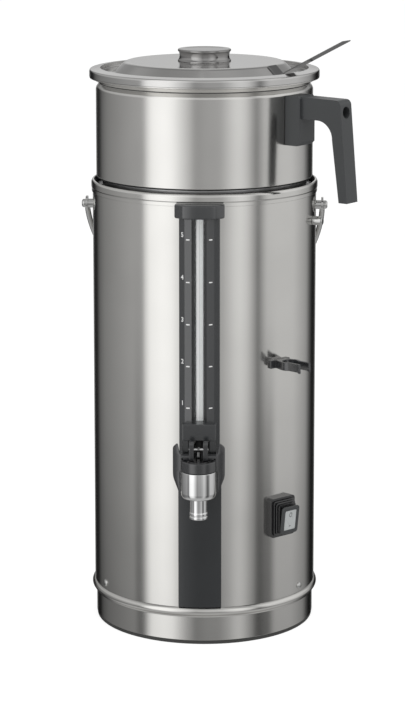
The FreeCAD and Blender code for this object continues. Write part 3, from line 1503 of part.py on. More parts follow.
handle_back = dim.basket_radius + dim.handle_gap
handle_block = slab("handle_block", "YZ_Plane", [
    (-dim.handle_block_reach, dim.handle_block_low + 3.0),
    (-dim.handle_block_reach + 3.0, dim.handle_block_low),
    (-handle_back + 4, dim.handle_block_low),
    (-handle_back + 4, dim.handle_block_top),
    (-dim.handle_block_reach + 2.0, dim.handle_block_top),
    (-dim.handle_block_reach, dim.handle_block_top - 2.0),
], -dim.handle_block_width / 2, dim.handle_block_width / 2)
grip_out = dim.handle_reach + dim.handle_lean
grip_in_top = dim.handle_reach - dim.handle_grip_wall
handle_grip = slab("handle_grip", "YZ_Plane", [
    (-grip_out, dim.handle_low),
    (-grip_out + dim.handle_grip_wall, dim.handle_low),
    (-grip_in_top, dim.handle_arm_low - dim.handle_inner_curve, -dim.handle_inner_curve),
    (-grip_in_top + dim.handle_inner_curve, dim.handle_arm_low),
    (-dim.handle_block_reach + 3.0, dim.handle_arm_low),
    (-dim.handle_block_reach + 3.0, dim.handle_arm_top + 0.5),
    (-dim.handle_reach + dim.handle_outer_curve, dim.handle_arm_top, dim.handle_outer_curve),
    (-dim.handle_reach, dim.handle_arm_top - dim.handle_outer_curve),
], -dim.handle_width / 2, dim.handle_width / 2)
handle_wall = upright("handle_wall", handle_back, dim.handle_block_low - 1, dim.handle_block_top + 1)
handle_bore = outward("handle_bore", dim.handle_hole, dim.handle_hole_end, dim.handle_reach + 10,
                      z=dim.handle_hole_height)
handle_screw_hole = outward("handle_screw_hole", dim.handle_screw_radius, handle_back - 1,
                            dim.handle_hole_end + 1, z=dim.handle_hole_height)
handle = cut("handle_cut", joined("handle_form", [handle_block, handle_grip]),
             [handle_wall, handle_bore, handle_screw_hole])
part(faced("basket_handle_faced", [handle], dim.handle_azimuth), "basket_handle")

bracket_outer = basket_inner
bracket_inner = bracket_outer - dim.sheet_wall * 1.5
bracket_ring = ring("bracket_ring", bracket_inner, bracket_outer, dim.bracket_low,
                    dim.bracket_low + dim.bracket_height)
bracket_box = box("bracket_box", (-dim.bracket_half_width, dim.bracket_half_width),
                  (-bracket_outer - 1, -bracket_inner + 3), (dim.bracket_low, dim.bracket_low + dim.bracket_height))
bracket_hole = outward("bracket_hole", dim.handle_screw_radius, bracket_inner - 3, bracket_outer + 2,
                       z=dim.handle_hole_height)
bracket = cut("bracket_cut", shared("bracket_form", [bracket_ring, bracket_box]), [bracket_hole])
part(faced("handle_plate_faced", [bracket], dim.handle_azimuth), "handle_plate")

nut_reach = bracket_inner - dim.slip_gap
screw_end = nut_reach - dim.bail_nut_wall - 1
handle_screw = joined("handle_screw_form", [
    outward("handle_screw_shank", dim.handle_screw_radius, screw_end, dim.handle_hole_end,
            z=dim.handle_hole_height),
    outward("handle_screw_head", dim.handle_screw_head, dim.handle_hole_end,
            dim.handle_hole_end + dim.handle_screw_head_wall, z=dim.handle_hole_height),
])
part(faced("handle_screw_faced", [handle_screw], dim.handle_azimuth), "handle_screw")
handle_nut = cut("handle_nut_form", hexagon("handle_nut_hex", dim.bail_nut_across, nut_reach - dim.bail_nut_wall,
                                            nut_reach, z=dim.handle_hole_height),
                 [outward("handle_nut_hole", dim.handle_screw_radius, screw_end - 1, nut_reach + 1,
                          z=dim.handle_hole_height)])
part(faced("handle_nut_faced", [handle_nut], dim.handle_azimuth), "handle_nut")


# Lid, knob, knob screw and thumb lever

lid_outer = dim.basket_mouth + dim.lid_gap
lid_inner = lid_outer - dim.sheet_wall
lid_form = turned("lid_form", [
    (0, lid_top - dim.sheet_wall),
    (dim.lid_cone_top - 0.5, lid_top - dim.sheet_wall),
    (dim.lid_cone_low - 0.8, lid_channel - dim.sheet_wall),
    (dim.lid_rim_inner + dim.sheet_wall, lid_channel - dim.sheet_wall),
    (dim.lid_rim_inner + dim.sheet_wall, lid_rim_top - dim.sheet_wall * 1.2),
    (lid_inner, lid_band_top - dim.sheet_wall),
    (lid_inner, lid_low),
    (lid_outer, lid_low),
    (lid_outer, lid_band_top - 0.6),
    (lid_outer - 0.6, lid_band_top),
    (dim.lid_rim_inner, lid_rim_top),
    (dim.lid_rim_inner, lid_channel),
    (dim.lid_cone_low, lid_channel),
    (dim.lid_cone_top, lid_top),
    (0, lid_top),
])
lid_hole = upright("lid_hole", dim.knob_screw_radius, lid_top - 4, lid_top + 1)
part(cut("lid_cut", lid_form, [lid_hole]), "lid")

knob_top = lid_top + dim.knob_height
knob = turned("lid_knob_form", [
    (dim.knob_screw_radius, lid_top),
    (dim.knob_radius, lid_top),
    (dim.knob_radius, lid_top + dim.knob_flange),
    (dim.knob_waist, lid_top + dim.knob_flange * 2),
    (dim.knob_waist, knob_top - dim.knob_flange * 2),
    (dim.knob_radius, knob_top - dim.knob_flange),
    (dim.knob_radius, knob_top - dim.knob_dish),
    (dim.knob_radius - dim.knob_dish, knob_top),
    (dim.knob_waist - 2.0, knob_top),
    (dim.knob_waist - 4.0, knob_top - dim.knob_dish),
    (0, knob_top - dim.knob_dish),
    (0, lid_top + dim.knob_screw_length),
    (dim.knob_screw_radius, lid_top + dim.knob_screw_length),
])
part(knob, "lid_knob")
lid_underside = lid_top - dim.sheet_wall
knob_screw = joined("knob_screw_form", [
    upright("knob_screw_head", dim.knob_screw_head, lid_underside - dim.knob_screw_head_wall, lid_underside),
    upright("knob_screw_shank", dim.knob_screw_radius, lid_underside - 1, lid_top + dim.knob_screw_length),
])
part(knob_screw, "knob_screw")

# The thumb lever is one strip: a foot flat on the lid's cone and a long leg rising over the rim
cone_run = dim.lid_cone_low - dim.lid_cone_top
cone_slope = Size(math.degrees(math.atan2(dim.lid_cone_rise.value, cone_run.value)),
                  f"(atan({dim.lid_cone_rise.text} / {cone_run.text}) / 1deg)")
slope_out = cosine(cone_slope)
slope_down = sine(cone_slope)
leg_out = cosine(dim.thumb_angle)
leg_up = sine(dim.thumb_angle)
bend_r = dim.lid_cone_low - 0.4
bend_z = lid_channel + (dim.lid_cone_low - bend_r) * slope_down / slope_out
foot_r = bend_r - dim.thumb_foot * slope_out
foot_z = bend_z + dim.thumb_foot * slope_down
tip_r = bend_r + dim.thumb_length * leg_out
tip_z = bend_z + dim.thumb_length * leg_up
half_bend = (cone_slope + dim.thumb_angle) / 2
bend_back = dim.thumb_wall * sine(half_bend) / cosine(half_bend)
upper_bend_r = bend_r + dim.thumb_wall * slope_down - bend_back * slope_out
upper_bend_z = bend_z + dim.thumb_wall * slope_out + bend_back * slope_down
thumb = slab("thumb_form", "YZ_Plane", [
    (-tip_r, tip_z),
    (-bend_r, bend_z),
    (-foot_r, foot_z),
    (-(foot_r + dim.thumb_wall * slope_down), foot_z + dim.thumb_wall * slope_out),
    (-upper_bend_r, upper_bend_z),
    (-(tip_r - dim.thumb_wall * leg_up), tip_z + dim.thumb_wall * leg_out),
], -dim.thumb_width / 2, dim.thumb_width / 2)
part(faced("thumb_lever_faced", [thumb], dim.thumb_azimuth), "lid_thumb_lever")


# Heater, thermostat, cut-out, terminal block and rear inlet

part(upright("heater_plate_disc", dim.heater_plate_radius, heater_low, tank_underside), "heater_plate")
heater_height = heater_low - dim.heater_tube
heater_ring = doc.addObject("Part::Torus", "heater_ring_tube")
bind(heater_ring, "Radius1", dim.heater_ring)
bind(heater_ring, "Radius2", dim.heater_tube)
place(heater_ring, 0, 0, heater_height)
heater_legs = []
for side in (-dim.heater_leg_side, dim.heater_leg_side):
    heater_legs.append(upright("heater_leg", dim.heater_leg_radius, dim.heater_leg_low, heater_height,
                               x=side, y=dim.heater_ring))
part(joined("heater_form", [heater_ring] + heater_legs), "heating_element")
part(upright("thermostat_can", dim.thermostat_radius, heater_low - dim.thermostat_height, heater_low,
             x=-dim.thermostat_side), "thermostat")
part(upright("cutout_can", dim.cutout_radius, heater_low - dim.cutout_height, heater_low,
             x=dim.thermostat_side), "thermal_cutout")
part(box("terminal_block_box", (-dim.block_half_width, dim.block_half_width),
         (dim.block_back, dim.block_back + dim.block_depth), (plate_top, plate_top + dim.block_height)),
     "terminal_block")


def inlet_face(name, width, tall, low, high):
    return slab(name, "XZ_Plane",
                rounded(width / 2, dim.inlet_height - tall / 2, dim.inlet_height + tall / 2, dim.inlet_corner),
                low, high)


inlet_front = gauge_back + dim.inlet_flange
inlet_back = inlet_front - dim.inlet_depth
inlet_flange = cut("inlet_flange_cut", inlet_face("inlet_flange", dim.inlet_width, dim.inlet_tall,
                                                  dim.body_radius - 4, inlet_front),
                   [upright("inlet_wall", gauge_back, dim.inlet_height - dim.inlet_tall,
                            dim.inlet_height + dim.inlet_tall)])
inlet_body = inlet_face("inlet_body", dim.inlet_body_width, dim.inlet_body_tall, inlet_back, inlet_front)
inlet_floor = inlet_front - dim.inlet_cavity_depth
inlet_cavity = inlet_face("inlet_cavity", dim.inlet_cavity_width, dim.inlet_cavity_tall, inlet_floor,
                          inlet_front + 1)
inlet = cut("inlet_cut", joined("inlet_form", [inlet_flange, inlet_body]), [inlet_cavity])
part(faced("power_inlet_faced", [inlet], as_size(180)), "power_inlet")
inlet_pins = []
for number, rise in ((-1, 0), (0, 1), (1, 0)):
    middle = dim.inlet_pin_pitch * number
    foot = dim.inlet_height - 2 + dim.inlet_pin_rise * rise
    inlet_pins.append(box(f"inlet_pin_{number + 1}", (middle - 1, middle + 1),
                          (-inlet_floor - dim.inlet_pin_length, -inlet_floor), (foot, foot + 4)))
part(faced("inlet_pins_faced", [group("inlet_pins_group", inlet_pins)], as_size(180)), "inlet_pins")


# Internal wires: straight runs joined by tangent arcs, from face to face

def smooth_path(points):
    """A wire through the points, each corner an arc as large as its two runs allow."""
    edges = []
    here = points[0]
    radii = []
    for number in range(1, len(points) - 1):
        corner = points[number]
        back = (points[number - 1] - corner)
        ahead = (points[number + 1] - corner)
        turn = math.pi - back.getAngle(ahead)
        radius = 0.45 * min(back.Length, ahead.Length) / math.tan(turn / 2)
        radii.append(round(radius, 1))
        reach = 0.45 * min(back.Length, ahead.Length)
        back.normalize()
        ahead.normalize()
        enter = corner + back * reach
        leave = corner + ahead * reach
        bisector = (back + ahead).normalize()
        middle = corner + bisector * (radius / math.cos(turn / 2) - radius)
        edges.append(Part.LineSegment(here, enter).toShape())
        edges.append(Part.Arc(enter, middle, leave).toShape())
        here = leave
    edges.append(Part.LineSegment(here, points[-1]).toShape())
    print("wire radii", radii)
    return Part.Wire(edges)


def wire(label, points):
    path = smooth_path(points)
    part(formed(label + "_run", tube_along(path, SIZES["wire_radius"])), label)


# Each wire leaves a face squarely, a little clear of it, and arrives at the next one squarely
down = vector(0, 0, -1)
clear = dim.wire_gap.value
lead = dim.wire_lead.value
short_lead = dim.wire_short_lead.value
spread = dim.wire_spread.value
leg_side = dim.heater_leg_side.value
block_middle = dim.block_back.value + dim.block_depth.value / 2
block_top = vector(0, block_middle, (plate_top + dim.block_height).value)
inlet_height = dim.inlet_height.value
leg_left = vector(-leg_side, dim.heater_ring.value, dim.heater_leg_low.value)
leg_right = vector(leg_side, dim.heater_ring.value, dim.heater_leg_low.value)
cutout_foot = vector(dim.thermostat_side.value, 0, (heater_low - dim.cutout_height).value)
azimuth = math.radians(dim.switch_azimuth.value)
switch_inward = vector(-math.sin(azimuth), math.cos(azimuth), 0)
switch_back = switch_inward * (dim.switch_body_depth - switch_body_front).value
switch_back.z = dim.switch_height.value
side_step = vector(spread, 0, 0)
wire("wire_inlet", [
    vector(0, inlet_back.value - clear, inlet_height),
    vector(0, block_middle, inlet_height),
    block_top - down * clear,
])
wire("wire_heater", [
    leg_left + down * clear,
    leg_left + down * lead,
    block_top - side_step - down * lead,
    block_top - side_step - down * clear,
])
wire("wire_switch", [
    switch_back + switch_inward * clear,
    switch_back + switch_inward * lead,
    block_top + side_step - down * lead,
    block_top + side_step - down * clear,
])
wire("wire_cutout", [
    cutout_foot + down * clear,
    cutout_foot + down * short_lead,
    leg_right + down * short_lead,
    leg_right + down * clear,
])


# Check and write every piece

doc.recompute()
faults = [item.Name for item in doc.Objects if "Invalid" in item.State or "Error" in item.State]
if faults:
    raise RuntimeError("objects that failed: " + ", ".join(faults))
labels = [item.Label for item in PARTS]
if len(set(labels)) != len(labels):
    raise RuntimeError("a label is used twice")
for item in PARTS:
    shape = item.Shape
    if shape.isNull() or not shape.isValid() or not shape.Solids:
        raise RuntimeError("bad shape: " + item.Label)
os.makedirs("parts", exist_ok=True)
for item in PARTS:
    item.Shape.exportStep(f"parts/{item.Label}.step")
    volume = sum(solid.Volume for solid in item.Shape.Solids)
    print(f"{item.Label:20s} solids {len(item.Shape.Solids)} volume {volume:12.1f}")
print("pieces", len(PARTS))
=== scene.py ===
# %% [markdown]
# # A coffee urn, piece by piece
# The urn is built round a imported CAD model, which gives every piece its place and carries its joints. Some
# of its pieces are kept and only get a finish, and those that show most are modelled again here with
# rounder edges and finer detail. This first cell loads the frame.

# %% Load the frame
import math

import bmesh
import bpy
from mathutils import Matrix, Vector


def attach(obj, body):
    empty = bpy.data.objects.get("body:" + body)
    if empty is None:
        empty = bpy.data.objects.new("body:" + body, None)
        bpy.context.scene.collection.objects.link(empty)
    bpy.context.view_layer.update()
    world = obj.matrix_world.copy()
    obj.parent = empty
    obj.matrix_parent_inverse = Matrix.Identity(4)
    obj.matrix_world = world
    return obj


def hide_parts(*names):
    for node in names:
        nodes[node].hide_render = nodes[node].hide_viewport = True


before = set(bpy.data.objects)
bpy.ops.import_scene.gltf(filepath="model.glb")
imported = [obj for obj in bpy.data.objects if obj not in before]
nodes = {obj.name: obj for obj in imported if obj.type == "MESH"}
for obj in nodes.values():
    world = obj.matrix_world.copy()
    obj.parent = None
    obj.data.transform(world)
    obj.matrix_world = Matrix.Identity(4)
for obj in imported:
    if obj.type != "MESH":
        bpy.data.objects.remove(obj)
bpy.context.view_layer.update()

# %% [markdown]
# ## Working in millimetres
# A maker's drawing of the urn is in millimetres, while Blender works in metres. Every length could be
# divided by a thousand by hand, but one factor is easier to read and harder to get wrong. The axes are the
# urn's own: Z is up, and the tap looks along minus Y. A height is counted from the floor and a reach from
# the urn's axis.

# %% Lengths
MM = 0.001
BODY_RADIUS = 102.0


def at(x, y, z):
    """The move to a place in millimetres."""
    return Matrix.Translation((x * MM, y * MM, z * MM))


print("body", 2 * BODY_RADIUS, "mm across")

# %% [markdown]
# ## Shader maths as plain expressions
# A finish is a small network of nodes, and a sum in it takes a node for each operator. They could be joined
# one by one, but nobody can read that back. So one small class wraps a socket, and each operator on it adds
# its own Math node: a mask or a noise then reads as a sum.

# %% Wrap a socket
class Value:
    """A number that varies over a surface."""

    def __init__(self, network, socket):
        self.network = network
        self.socket = socket

    def maths(self, operation, *others):
        node = self.network.node("ShaderNodeMath", {"operation": operation}, self, *others)
        return Value(self.network, node.outputs[0])

    def __add__(self, other):
        return self.maths("ADD", other)

    __radd__ = __add__

    def __mul__(self, other):
        return self.maths("MULTIPLY", other)

    __rmul__ = __mul__

    def __sub__(self, other):
        return self.maths("SUBTRACT", other)

    def __rsub__(self, other):
        return self * -1.0 + other

    def between(self, low, high):
        """0 below low, 1 above high and a smooth step between them."""
        node = self.network.node("ShaderNodeMapRange", {"interpolation_type": "SMOOTHSTEP"}, Value=self,
                                 From_Min=low, From_Max=high)
        return Value(self.network, node.outputs["Result"])


# %% [markdown]
# ## One way to add a node
# Every other kind of node comes from a single method. It sets what changes a node's sockets first, such as
# the stops of a colour ramp, and then gives the sockets their numbers or their links. A socket that isn't
# named keeps Blender's own value.

# %% Add a node
def grey_stops(ramp, stops):
    """A ramp's stops, from rows of place and level in rising order."""
    first, *middle, last = stops
    for element, (place, level) in zip(ramp.elements, (first, last)):
        element.position = place
        element.color = (level, level, level, 1)
    for place, level in middle:
        ramp.elements.new(place).color = (level, level, level, 1)


class Nodes:
    """A network of nodes, and the one method that adds to it."""

    def __init__(self, tree):
        self.tree = tree

    def feed(self, socket, value):
        """A link where the value comes from another socket, and else the plain number or colour."""
        if isinstance(value, Value):
            value = value.socket
        if isinstance(value, bpy.types.NodeSocket):
            self.tree.links.new(value, socket)
        else:
            socket.default_value = value

    def node(self, kind, settings=None, *values, **named):
        """A node with its settings, and with values for its sockets in their order or by name."""
        node = self.tree.nodes.new(kind)
        for key, setting in (settings or {}).items():
            if key == "stops":
                grey_stops(node.color_ramp, setting)
            else:
                setattr(node, key, setting)
        for place, value in enumerate(values):
            self.feed(node.inputs[place], value)
        for name, value in named.items():
            self.feed(node.inputs[name.replace("_", " ")], value)
        return node


# %% [markdown]
# ## A finish
# A finish is one material with one Principled shader. The short methods below are the moves that most
# finishes of the urn share: noise in the object's own axes, a colour between two shades, a stain under a
# mask, and a normal with soft edges or a fine relief. The object's axes are used because every piece sits
# at the origin, so a pattern keeps its place and its real size on all of them.

# %% Start a finish
class Finish(Nodes):
    """A material with one Principled shader, and short ways to add to it."""

    def __init__(self, name, **sockets):
        self.material = bpy.data.materials.new(name)
        self.material.use_nodes = True
        super().__init__(self.material.node_tree)
        self.shader = self.tree.nodes["Principled BSDF"]
        for socket, value in sockets.items():
            self.set(socket.replace("_", " "), value)

    def set(self, socket, value):
        self.feed(self.shader.inputs[socket], value)

    def place(self):
        """Where a point lies in the object's own axes, in metres."""
        return self.node("ShaderNodeTexCoord").outputs["Object"]

    def axes(self):
        """The three coordinates of that place."""
        apart = self.node("ShaderNodeSeparateXYZ", Vector=self.place())
        return [Value(self, apart.outputs[axis]) for axis in "XYZ"]

    def noise(self, scale, detail=2.0, place=None):
        node = self.node("ShaderNodeTexNoise", Vector=place or self.place(), Scale=scale, Detail=detail,
                         Roughness=0.55)
        return Value(self, node.outputs[0])

    def tint(self, factor, start, end):
        """The colour, from one to another as a factor goes from 0 to 1."""
        mix = self.node("ShaderNodeMix", {"data_type": "RGBA"}, Factor=factor, A=start, B=end)
        self.colour = mix.outputs["Result"]
        self.set("Base Color", self.colour)

    def shades(self, factor, dark, light):
        self.tint(factor, (*dark, 1), (*light, 1))

    def stained(self, mask, tone):
        """The colour so far, with another tone over it where a mask is 1."""
        self.tint(mask, self.colour, (*tone, 1))

    def soft_edges(self, radius):
        """A normal that rounds the edges by a radius in millimetres."""
        return self.node("ShaderNodeBevel", {"samples": 4}, Radius=radius * MM).outputs["Normal"]

    def bump(self, height, depth, strength, normal=None):
        """Relief of a depth in millimetres, over another normal where one is given."""
        node = self.node("ShaderNodeBump", Height=height, Distance=depth * MM, Strength=strength)
        if normal is not None:
            self.feed(node.inputs["Normal"], normal)
        self.set("Normal", node.outputs["Normal"])


# %% [markdown]
# ## Steel
# The urn's sheet is satin stainless steel. It was polished as it turned, so its grain runs in fine rings.
# A photograph of such steel could be wrapped round it, but would carry its own light. Here noise is drawn
# out into rings round the axis and feeds only the roughness and a faint bump. A mask by height and radius
# paints shade into the narrow gaps round the basket and the groove under its brim: there the colour turns
# nearly black, the gloss dull and the surface no longer metallic.

# %% Mask a band of painted shade
def painted_shade_mask(x, y, z, lowest, highest, nearest, furthest):
    """1 between two heights and between two distances from the axis, all four in millimetres."""
    radius = (x * x + y * y).maths("SQRT")
    return (radius.between((nearest - 0.3) * MM, nearest * MM)
            * (1 - radius.between((furthest - 0.4) * MM, furthest * MM))
            * z.between(lowest * MM, (lowest + 0.5) * MM)
            * (1 - z.between((highest - 0.5) * MM, highest * MM)))


# %% Make steel
RINGS_PER_METRE = 2600.0
# The nearly black colour that is painted as shade into the narrow gaps and the groove.
PAINTED_SHADE_TONE = (0.004, 0.004, 0.004)


def steel(name, colour, rough, grain=1.0, spread=0.05, painted_shade_bands=()):
    """Rolled or turned metal: fine grain in rings, slight clouding, and dull dark bands of painted shade."""
    look = Finish(name, Metallic=1.0)
    x, y, z = look.axes()
    ring = ((x * x + y * y).maths("SQRT") + z) * RINGS_PER_METRE
    drawn_out = look.node("ShaderNodeCombineXYZ", X=ring, Y=x * 30.0, Z=y * 30.0)
    lines = look.noise(1.0, detail=4.0, place=drawn_out.outputs["Vector"])
    clouds = look.noise(14.0)
    look.shades(clouds.between(0.3, 0.7), [c * 0.97 for c in colour], [min(c * 1.02, 1) for c in colour])
    gloss = lines * spread + clouds * 0.03 + (rough - spread / 2 - 0.015)
    metal = 1.0
    # Each band gets painted shade: nearly black, dull and not metallic.
    for shade_band in painted_shade_bands:
        mask = painted_shade_mask(x, y, z, *shade_band)
        look.stained(mask, PAINTED_SHADE_TONE)
        gloss = gloss + mask * 0.7
        metal = (1 - mask) * metal
    look.set("Roughness", gloss)
    look.set("Metallic", metal)
    look.bump(lines, 0.01 * grain, 0.3)
    return look.material


# %% The urn's steels
# Bands of painted shade, as lowest and highest height and nearest and furthest radius, all in millimetres.
RIM_WALL = (402.5, 412.6, 99.2, 101.0)
UNDER_BASKET = (401.5, 413.4, 91.1, 99.9)
BASKET_HEEL = (412.2, 414.1, 97.95, 99.9)
FLARE_GROOVE = (497.4, 498.7, 94.9, 96.7)

SATIN_STEEL = steel("satin_steel_look", (0.66, 0.652, 0.630), 0.14, painted_shade_bands=[RIM_WALL])
BASKET_STEEL = steel("basket_steel_look", (0.66, 0.652, 0.632), 0.18,
                     painted_shade_bands=[UNDER_BASKET, BASKET_HEEL, FLARE_GROOVE])
BRIGHT_STEEL = steel("bright_steel_look", (0.58, 0.575, 0.565), 0.13, grain=2.0)
# The knob's steel, darker than the other steels as painted shade.
SHADED_TURNED_STEEL = steel("shaded_turned_steel_look", (0.35, 0.345, 0.34), 0.06, grain=0.4)
SHADED_STEEL = steel("shaded_steel_look", (0.20, 0.20, 0.20), 0.12, grain=0.4)
PLAIN_STEEL = steel("plain_steel_look", (0.60, 0.60, 0.60), 0.32)
DRAWN_STEEL = steel("drawn_steel_look", (0.58, 0.58, 0.57), 0.13, grain=0.4)
print("lightest steel", SATIN_STEEL.name, "darkest", SHADED_STEEL.name)

# %% [markdown]
# ## Chrome
# The tap is a brass casting under bright chrome. Chrome has no grain of its own, so a mirror would nearly
# do. A soft noise makes it a touch duller in patches, as handled chrome is, which keeps its highlights from
# looking cut.

# %% Chrome
def chrome(name):
    look = Finish(name, Metallic=1.0)
    smear = look.noise(40.0)
    look.shades(smear.between(0.35, 0.65), (0.76, 0.76, 0.76), (0.81, 0.81, 0.81))
    look.set("Roughness", smear * 0.03 + 0.02)
    return look.material


CHROME = chrome("tap_chrome_look")
print("made", CHROME.name)

# %% [markdown]
# ## Plastics and rubber
# The column, the lever, the switch and the handle are moulded in dark plastics, and the boot and the foot
# are rubber. They differ in how dark and how glossy they are, so one function makes them all from those
# numbers. Real pores are too fine to show as relief, so they go into the gloss, and only a coarse grain
# becomes a bump.

# %% Make a plastic
COARSE_GRAIN = 0.02


def plastic(name, colour, rough, grain=0.03, edge=0.35, scale=1500.0, ior=1.5):
    """Moulded plastic or rubber: pores and clouding in its gloss, and softly rounded edges."""
    look = Finish(name, IOR=ior)
    pores = look.noise(scale)
    clouds = look.noise(25.0)
    look.shades(clouds.between(0.2, 0.8), [c * 0.95 for c in colour], [min(c * 1.05, 1) for c in colour])
    look.set("Roughness", clouds * 0.04 + pores * 0.06 + (rough - 0.05))
    rounded = look.soft_edges(edge) if edge else None
    if grain > COARSE_GRAIN:
        look.bump(pores, grain, 0.25, rounded)
    elif rounded:
        look.set("Normal", rounded)
    return look.material


# %% The urn's plastics
DARK_PLASTIC = plastic("dark_plastic_look", (0.050, 0.053, 0.055), 0.40)
COLUMN_PLASTIC = plastic("column_plastic_look", (0.030, 0.032, 0.034), 0.20, grain=0.012, ior=1.85)
LEVER_PLASTIC = plastic("lever_plastic_look", (0.022, 0.023, 0.025), 0.24, grain=0.02, ior=1.85)
TRIM_PLASTIC = plastic("trim_plastic_look", (0.021, 0.023, 0.025), 0.24, grain=0.012, ior=1.6)
BLACK_PLASTIC = plastic("black_plastic_look", (0.016, 0.016, 0.017), 0.26, ior=1.7)
WINDOW_PLASTIC = plastic("window_plastic_look", (0.48, 0.50, 0.50), 0.3, grain=0.01, edge=0.2)
MARK_PAINT = plastic("mark_paint_look", (0.88, 0.88, 0.87), 0.5, grain=0.005, edge=0.0)
NYLON = plastic("white_nylon_look", (0.72, 0.70, 0.64), 0.45)
SLEEVE = plastic("red_sleeve_look", (0.45, 0.05, 0.035), 0.5, edge=0.0)
print("darkest plastic", BLACK_PLASTIC.name)

# %% The urn's rubbers
FOOT_RUBBER = plastic("foot_rubber_look", (0.045, 0.045, 0.043), 0.6, grain=0.05)
BLACK_RUBBER = plastic("black_rubber_look", (0.014, 0.014, 0.015), 0.6, grain=0.05)
BOOT_RUBBER = plastic("boot_rubber_look", (0.012, 0.012, 0.013), 0.28, grain=0.02, edge=0.2, ior=1.85)
print("rubbers", FOOT_RUBBER.name, BLACK_RUBBER.name, BOOT_RUBBER.name)

# %% [markdown]
# ## Glass and the strip behind it
# The gauge's glass is a thin tube full of air, and behind it lies a pale strip that makes the coffee's
# level easy to read. Real glass bends light, and a solid rod of it would hide the strip. A tube hardly
# does, so its index is set close to 1, and a coat on top gives back the shine. The strip glows very
# faintly as painted light, because the light that reaches the bottom of a narrow slot takes more bounces
# than a render follows. Its right half is a little darker as painted shade, and a grey line down its
# middle is a painted reflection of the tube.

# %% Glass
def clear_glass(name):
    look = Finish(name, Roughness=0.0, IOR=1.01, Transmission_Weight=1.0, Coat_Weight=0.5, Coat_Roughness=0.02,
                  Base_Color=(0.98, 0.99, 0.99, 1))
    return look.material


GLASS = clear_glass("gauge_glass_look")
print("made", GLASS.name)


# %% Strip behind the glass
def backed_strip(name):
    """A pale strip that glows faintly as painted light, with painted shade over its right half and a painted
    reflection of the tube down its middle.
    """
    # The faint glow is painted light.
    look = Finish(name, Roughness=0.35, Emission_Color=(1, 1, 1, 1), Emission_Strength=0.17)
    x, y, z = look.axes()
    # The dimmer right half is painted shade, and the grey line down the middle is a painted reflection of the
    # tube.
    look.shades(x.between(0.1 * MM, 0.5 * MM), (0.97, 0.97, 0.96), (0.86, 0.87, 0.86))
    painted_tube_line = x.between(-0.5 * MM, -0.1 * MM) * (1 - x.between(0.3 * MM, 0.7 * MM))
    look.stained(painted_tube_line, (0.62, 0.63, 0.63))
    return look.material


STRIP_PLASTIC = backed_strip("gauge_strip_look")
print("made", STRIP_PLASTIC.name)

# %% [markdown]
# ## Pieces that keep their CAD shape
# Inside the urn are a tank, a heater, wires and fastenings that show only when it is opened. Their CAD
# shapes are good as they are, and modelling them again would add nothing, so they only get the finish of
# their real metal, wool, nylon or rubber. The bail, its spacers, the basket's handle and the rear inlet
# keep their shapes as well.

# %% Metals and wool inside
BRASS = steel("brass_look", (0.72, 0.55, 0.27), 0.3)
CAST = steel("cast_aluminium_look", (0.66, 0.66, 0.67), 0.45)
WOOL = plastic("mineral_wool_look", (0.55, 0.50, 0.36), 0.9, grain=0.8, edge=0.0, scale=300.0)
print("made", BRASS.name, CAST.name, WOOL.name)

# %% Dress the kept nodes
DRESS = {
    PLAIN_STEEL: ["base_plate", "inner_tank", "filter_plate", "outlet_pipe", "handle_plate", "heating_element"],
    DRAWN_STEEL: ["gauge_screws", "clip_screw", "handle_nut", "handle_screw", "knob_screw", "bail_nuts", "bail",
                  "bail_spacers", "valve_spring"],
    SHADED_STEEL: ["valve_stem"],
    WOOL: ["insulation_jacket"],
    BRASS: ["tap_nut", "inlet_pins"],
    CAST: ["heater_plate", "thermostat", "thermal_cutout"],
    NYLON: ["terminal_block"],
    SLEEVE: ["wire_inlet", "wire_heater", "wire_switch", "wire_cutout"],
    BLACK_RUBBER: ["tap_gasket", "valve_seal", "gauge_seal_lower", "gauge_seal_upper", "gauge_riser"],
    BLACK_PLASTIC: ["switch_body", "tap_bonnet", "power_inlet"],
    STRIP_PLASTIC: ["gauge_strip"],
    DARK_PLASTIC: ["basket_handle"],
}
for look, names in DRESS.items():
    for name in names:
        nodes[name].data.materials.clear()
        nodes[name].data.materials.append(look)
print("dressed", sum(len(names) for names in DRESS.values()), "nodes")

# %% [markdown]
# ## From a bmesh to a piece
# Every new piece ends the same way. Doubles are merged, the faces point outwards, and smooth shading is cut
# where the real piece has an edge. A modifier weighs the normals by the size of the faces, which keeps flat
# faces flat right up to their rounded edges: without it their reflections would smear. Then the piece is
# given its body and its finish, and the CAD nodes that it stands for are hidden.

# %% Finish a piece
def finished(name, bm, body, finish, replaces=(), sharp=40.0):
    bmesh.ops.remove_doubles(bm, verts=bm.verts, dist=2e-6)
    bmesh.ops.recalc_face_normals(bm, faces=bm.faces)
    mesh = bpy.data.meshes.new(name)
    bm.to_mesh(mesh)
    bm.free()
    mesh.shade_smooth()
    mesh.set_sharp_from_angle(angle=math.radians(sharp))
    piece = bpy.data.objects.new(name, mesh)
    bpy.context.scene.collection.objects.link(piece)
    piece.data.materials.append(finish)
    crisp = piece.modifiers.new("crisp_faces", "WEIGHTED_NORMAL")
    crisp.keep_sharp = True
    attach(piece, body)
    for node in replaces:
        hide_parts(node)
    print(name, len(mesh.polygons), "faces, rides on", body)
    return piece


# %% [markdown]
# ## Spinning a profile
# The base, the body, the basket and the lid are pressed and spun from sheet. Rings of faces could be placed
# by a formula, but a metal spinner works from one profile, and so does the spin operator. A row gives a
# corner's radius and height, and a third number rounds it by that length on each side.

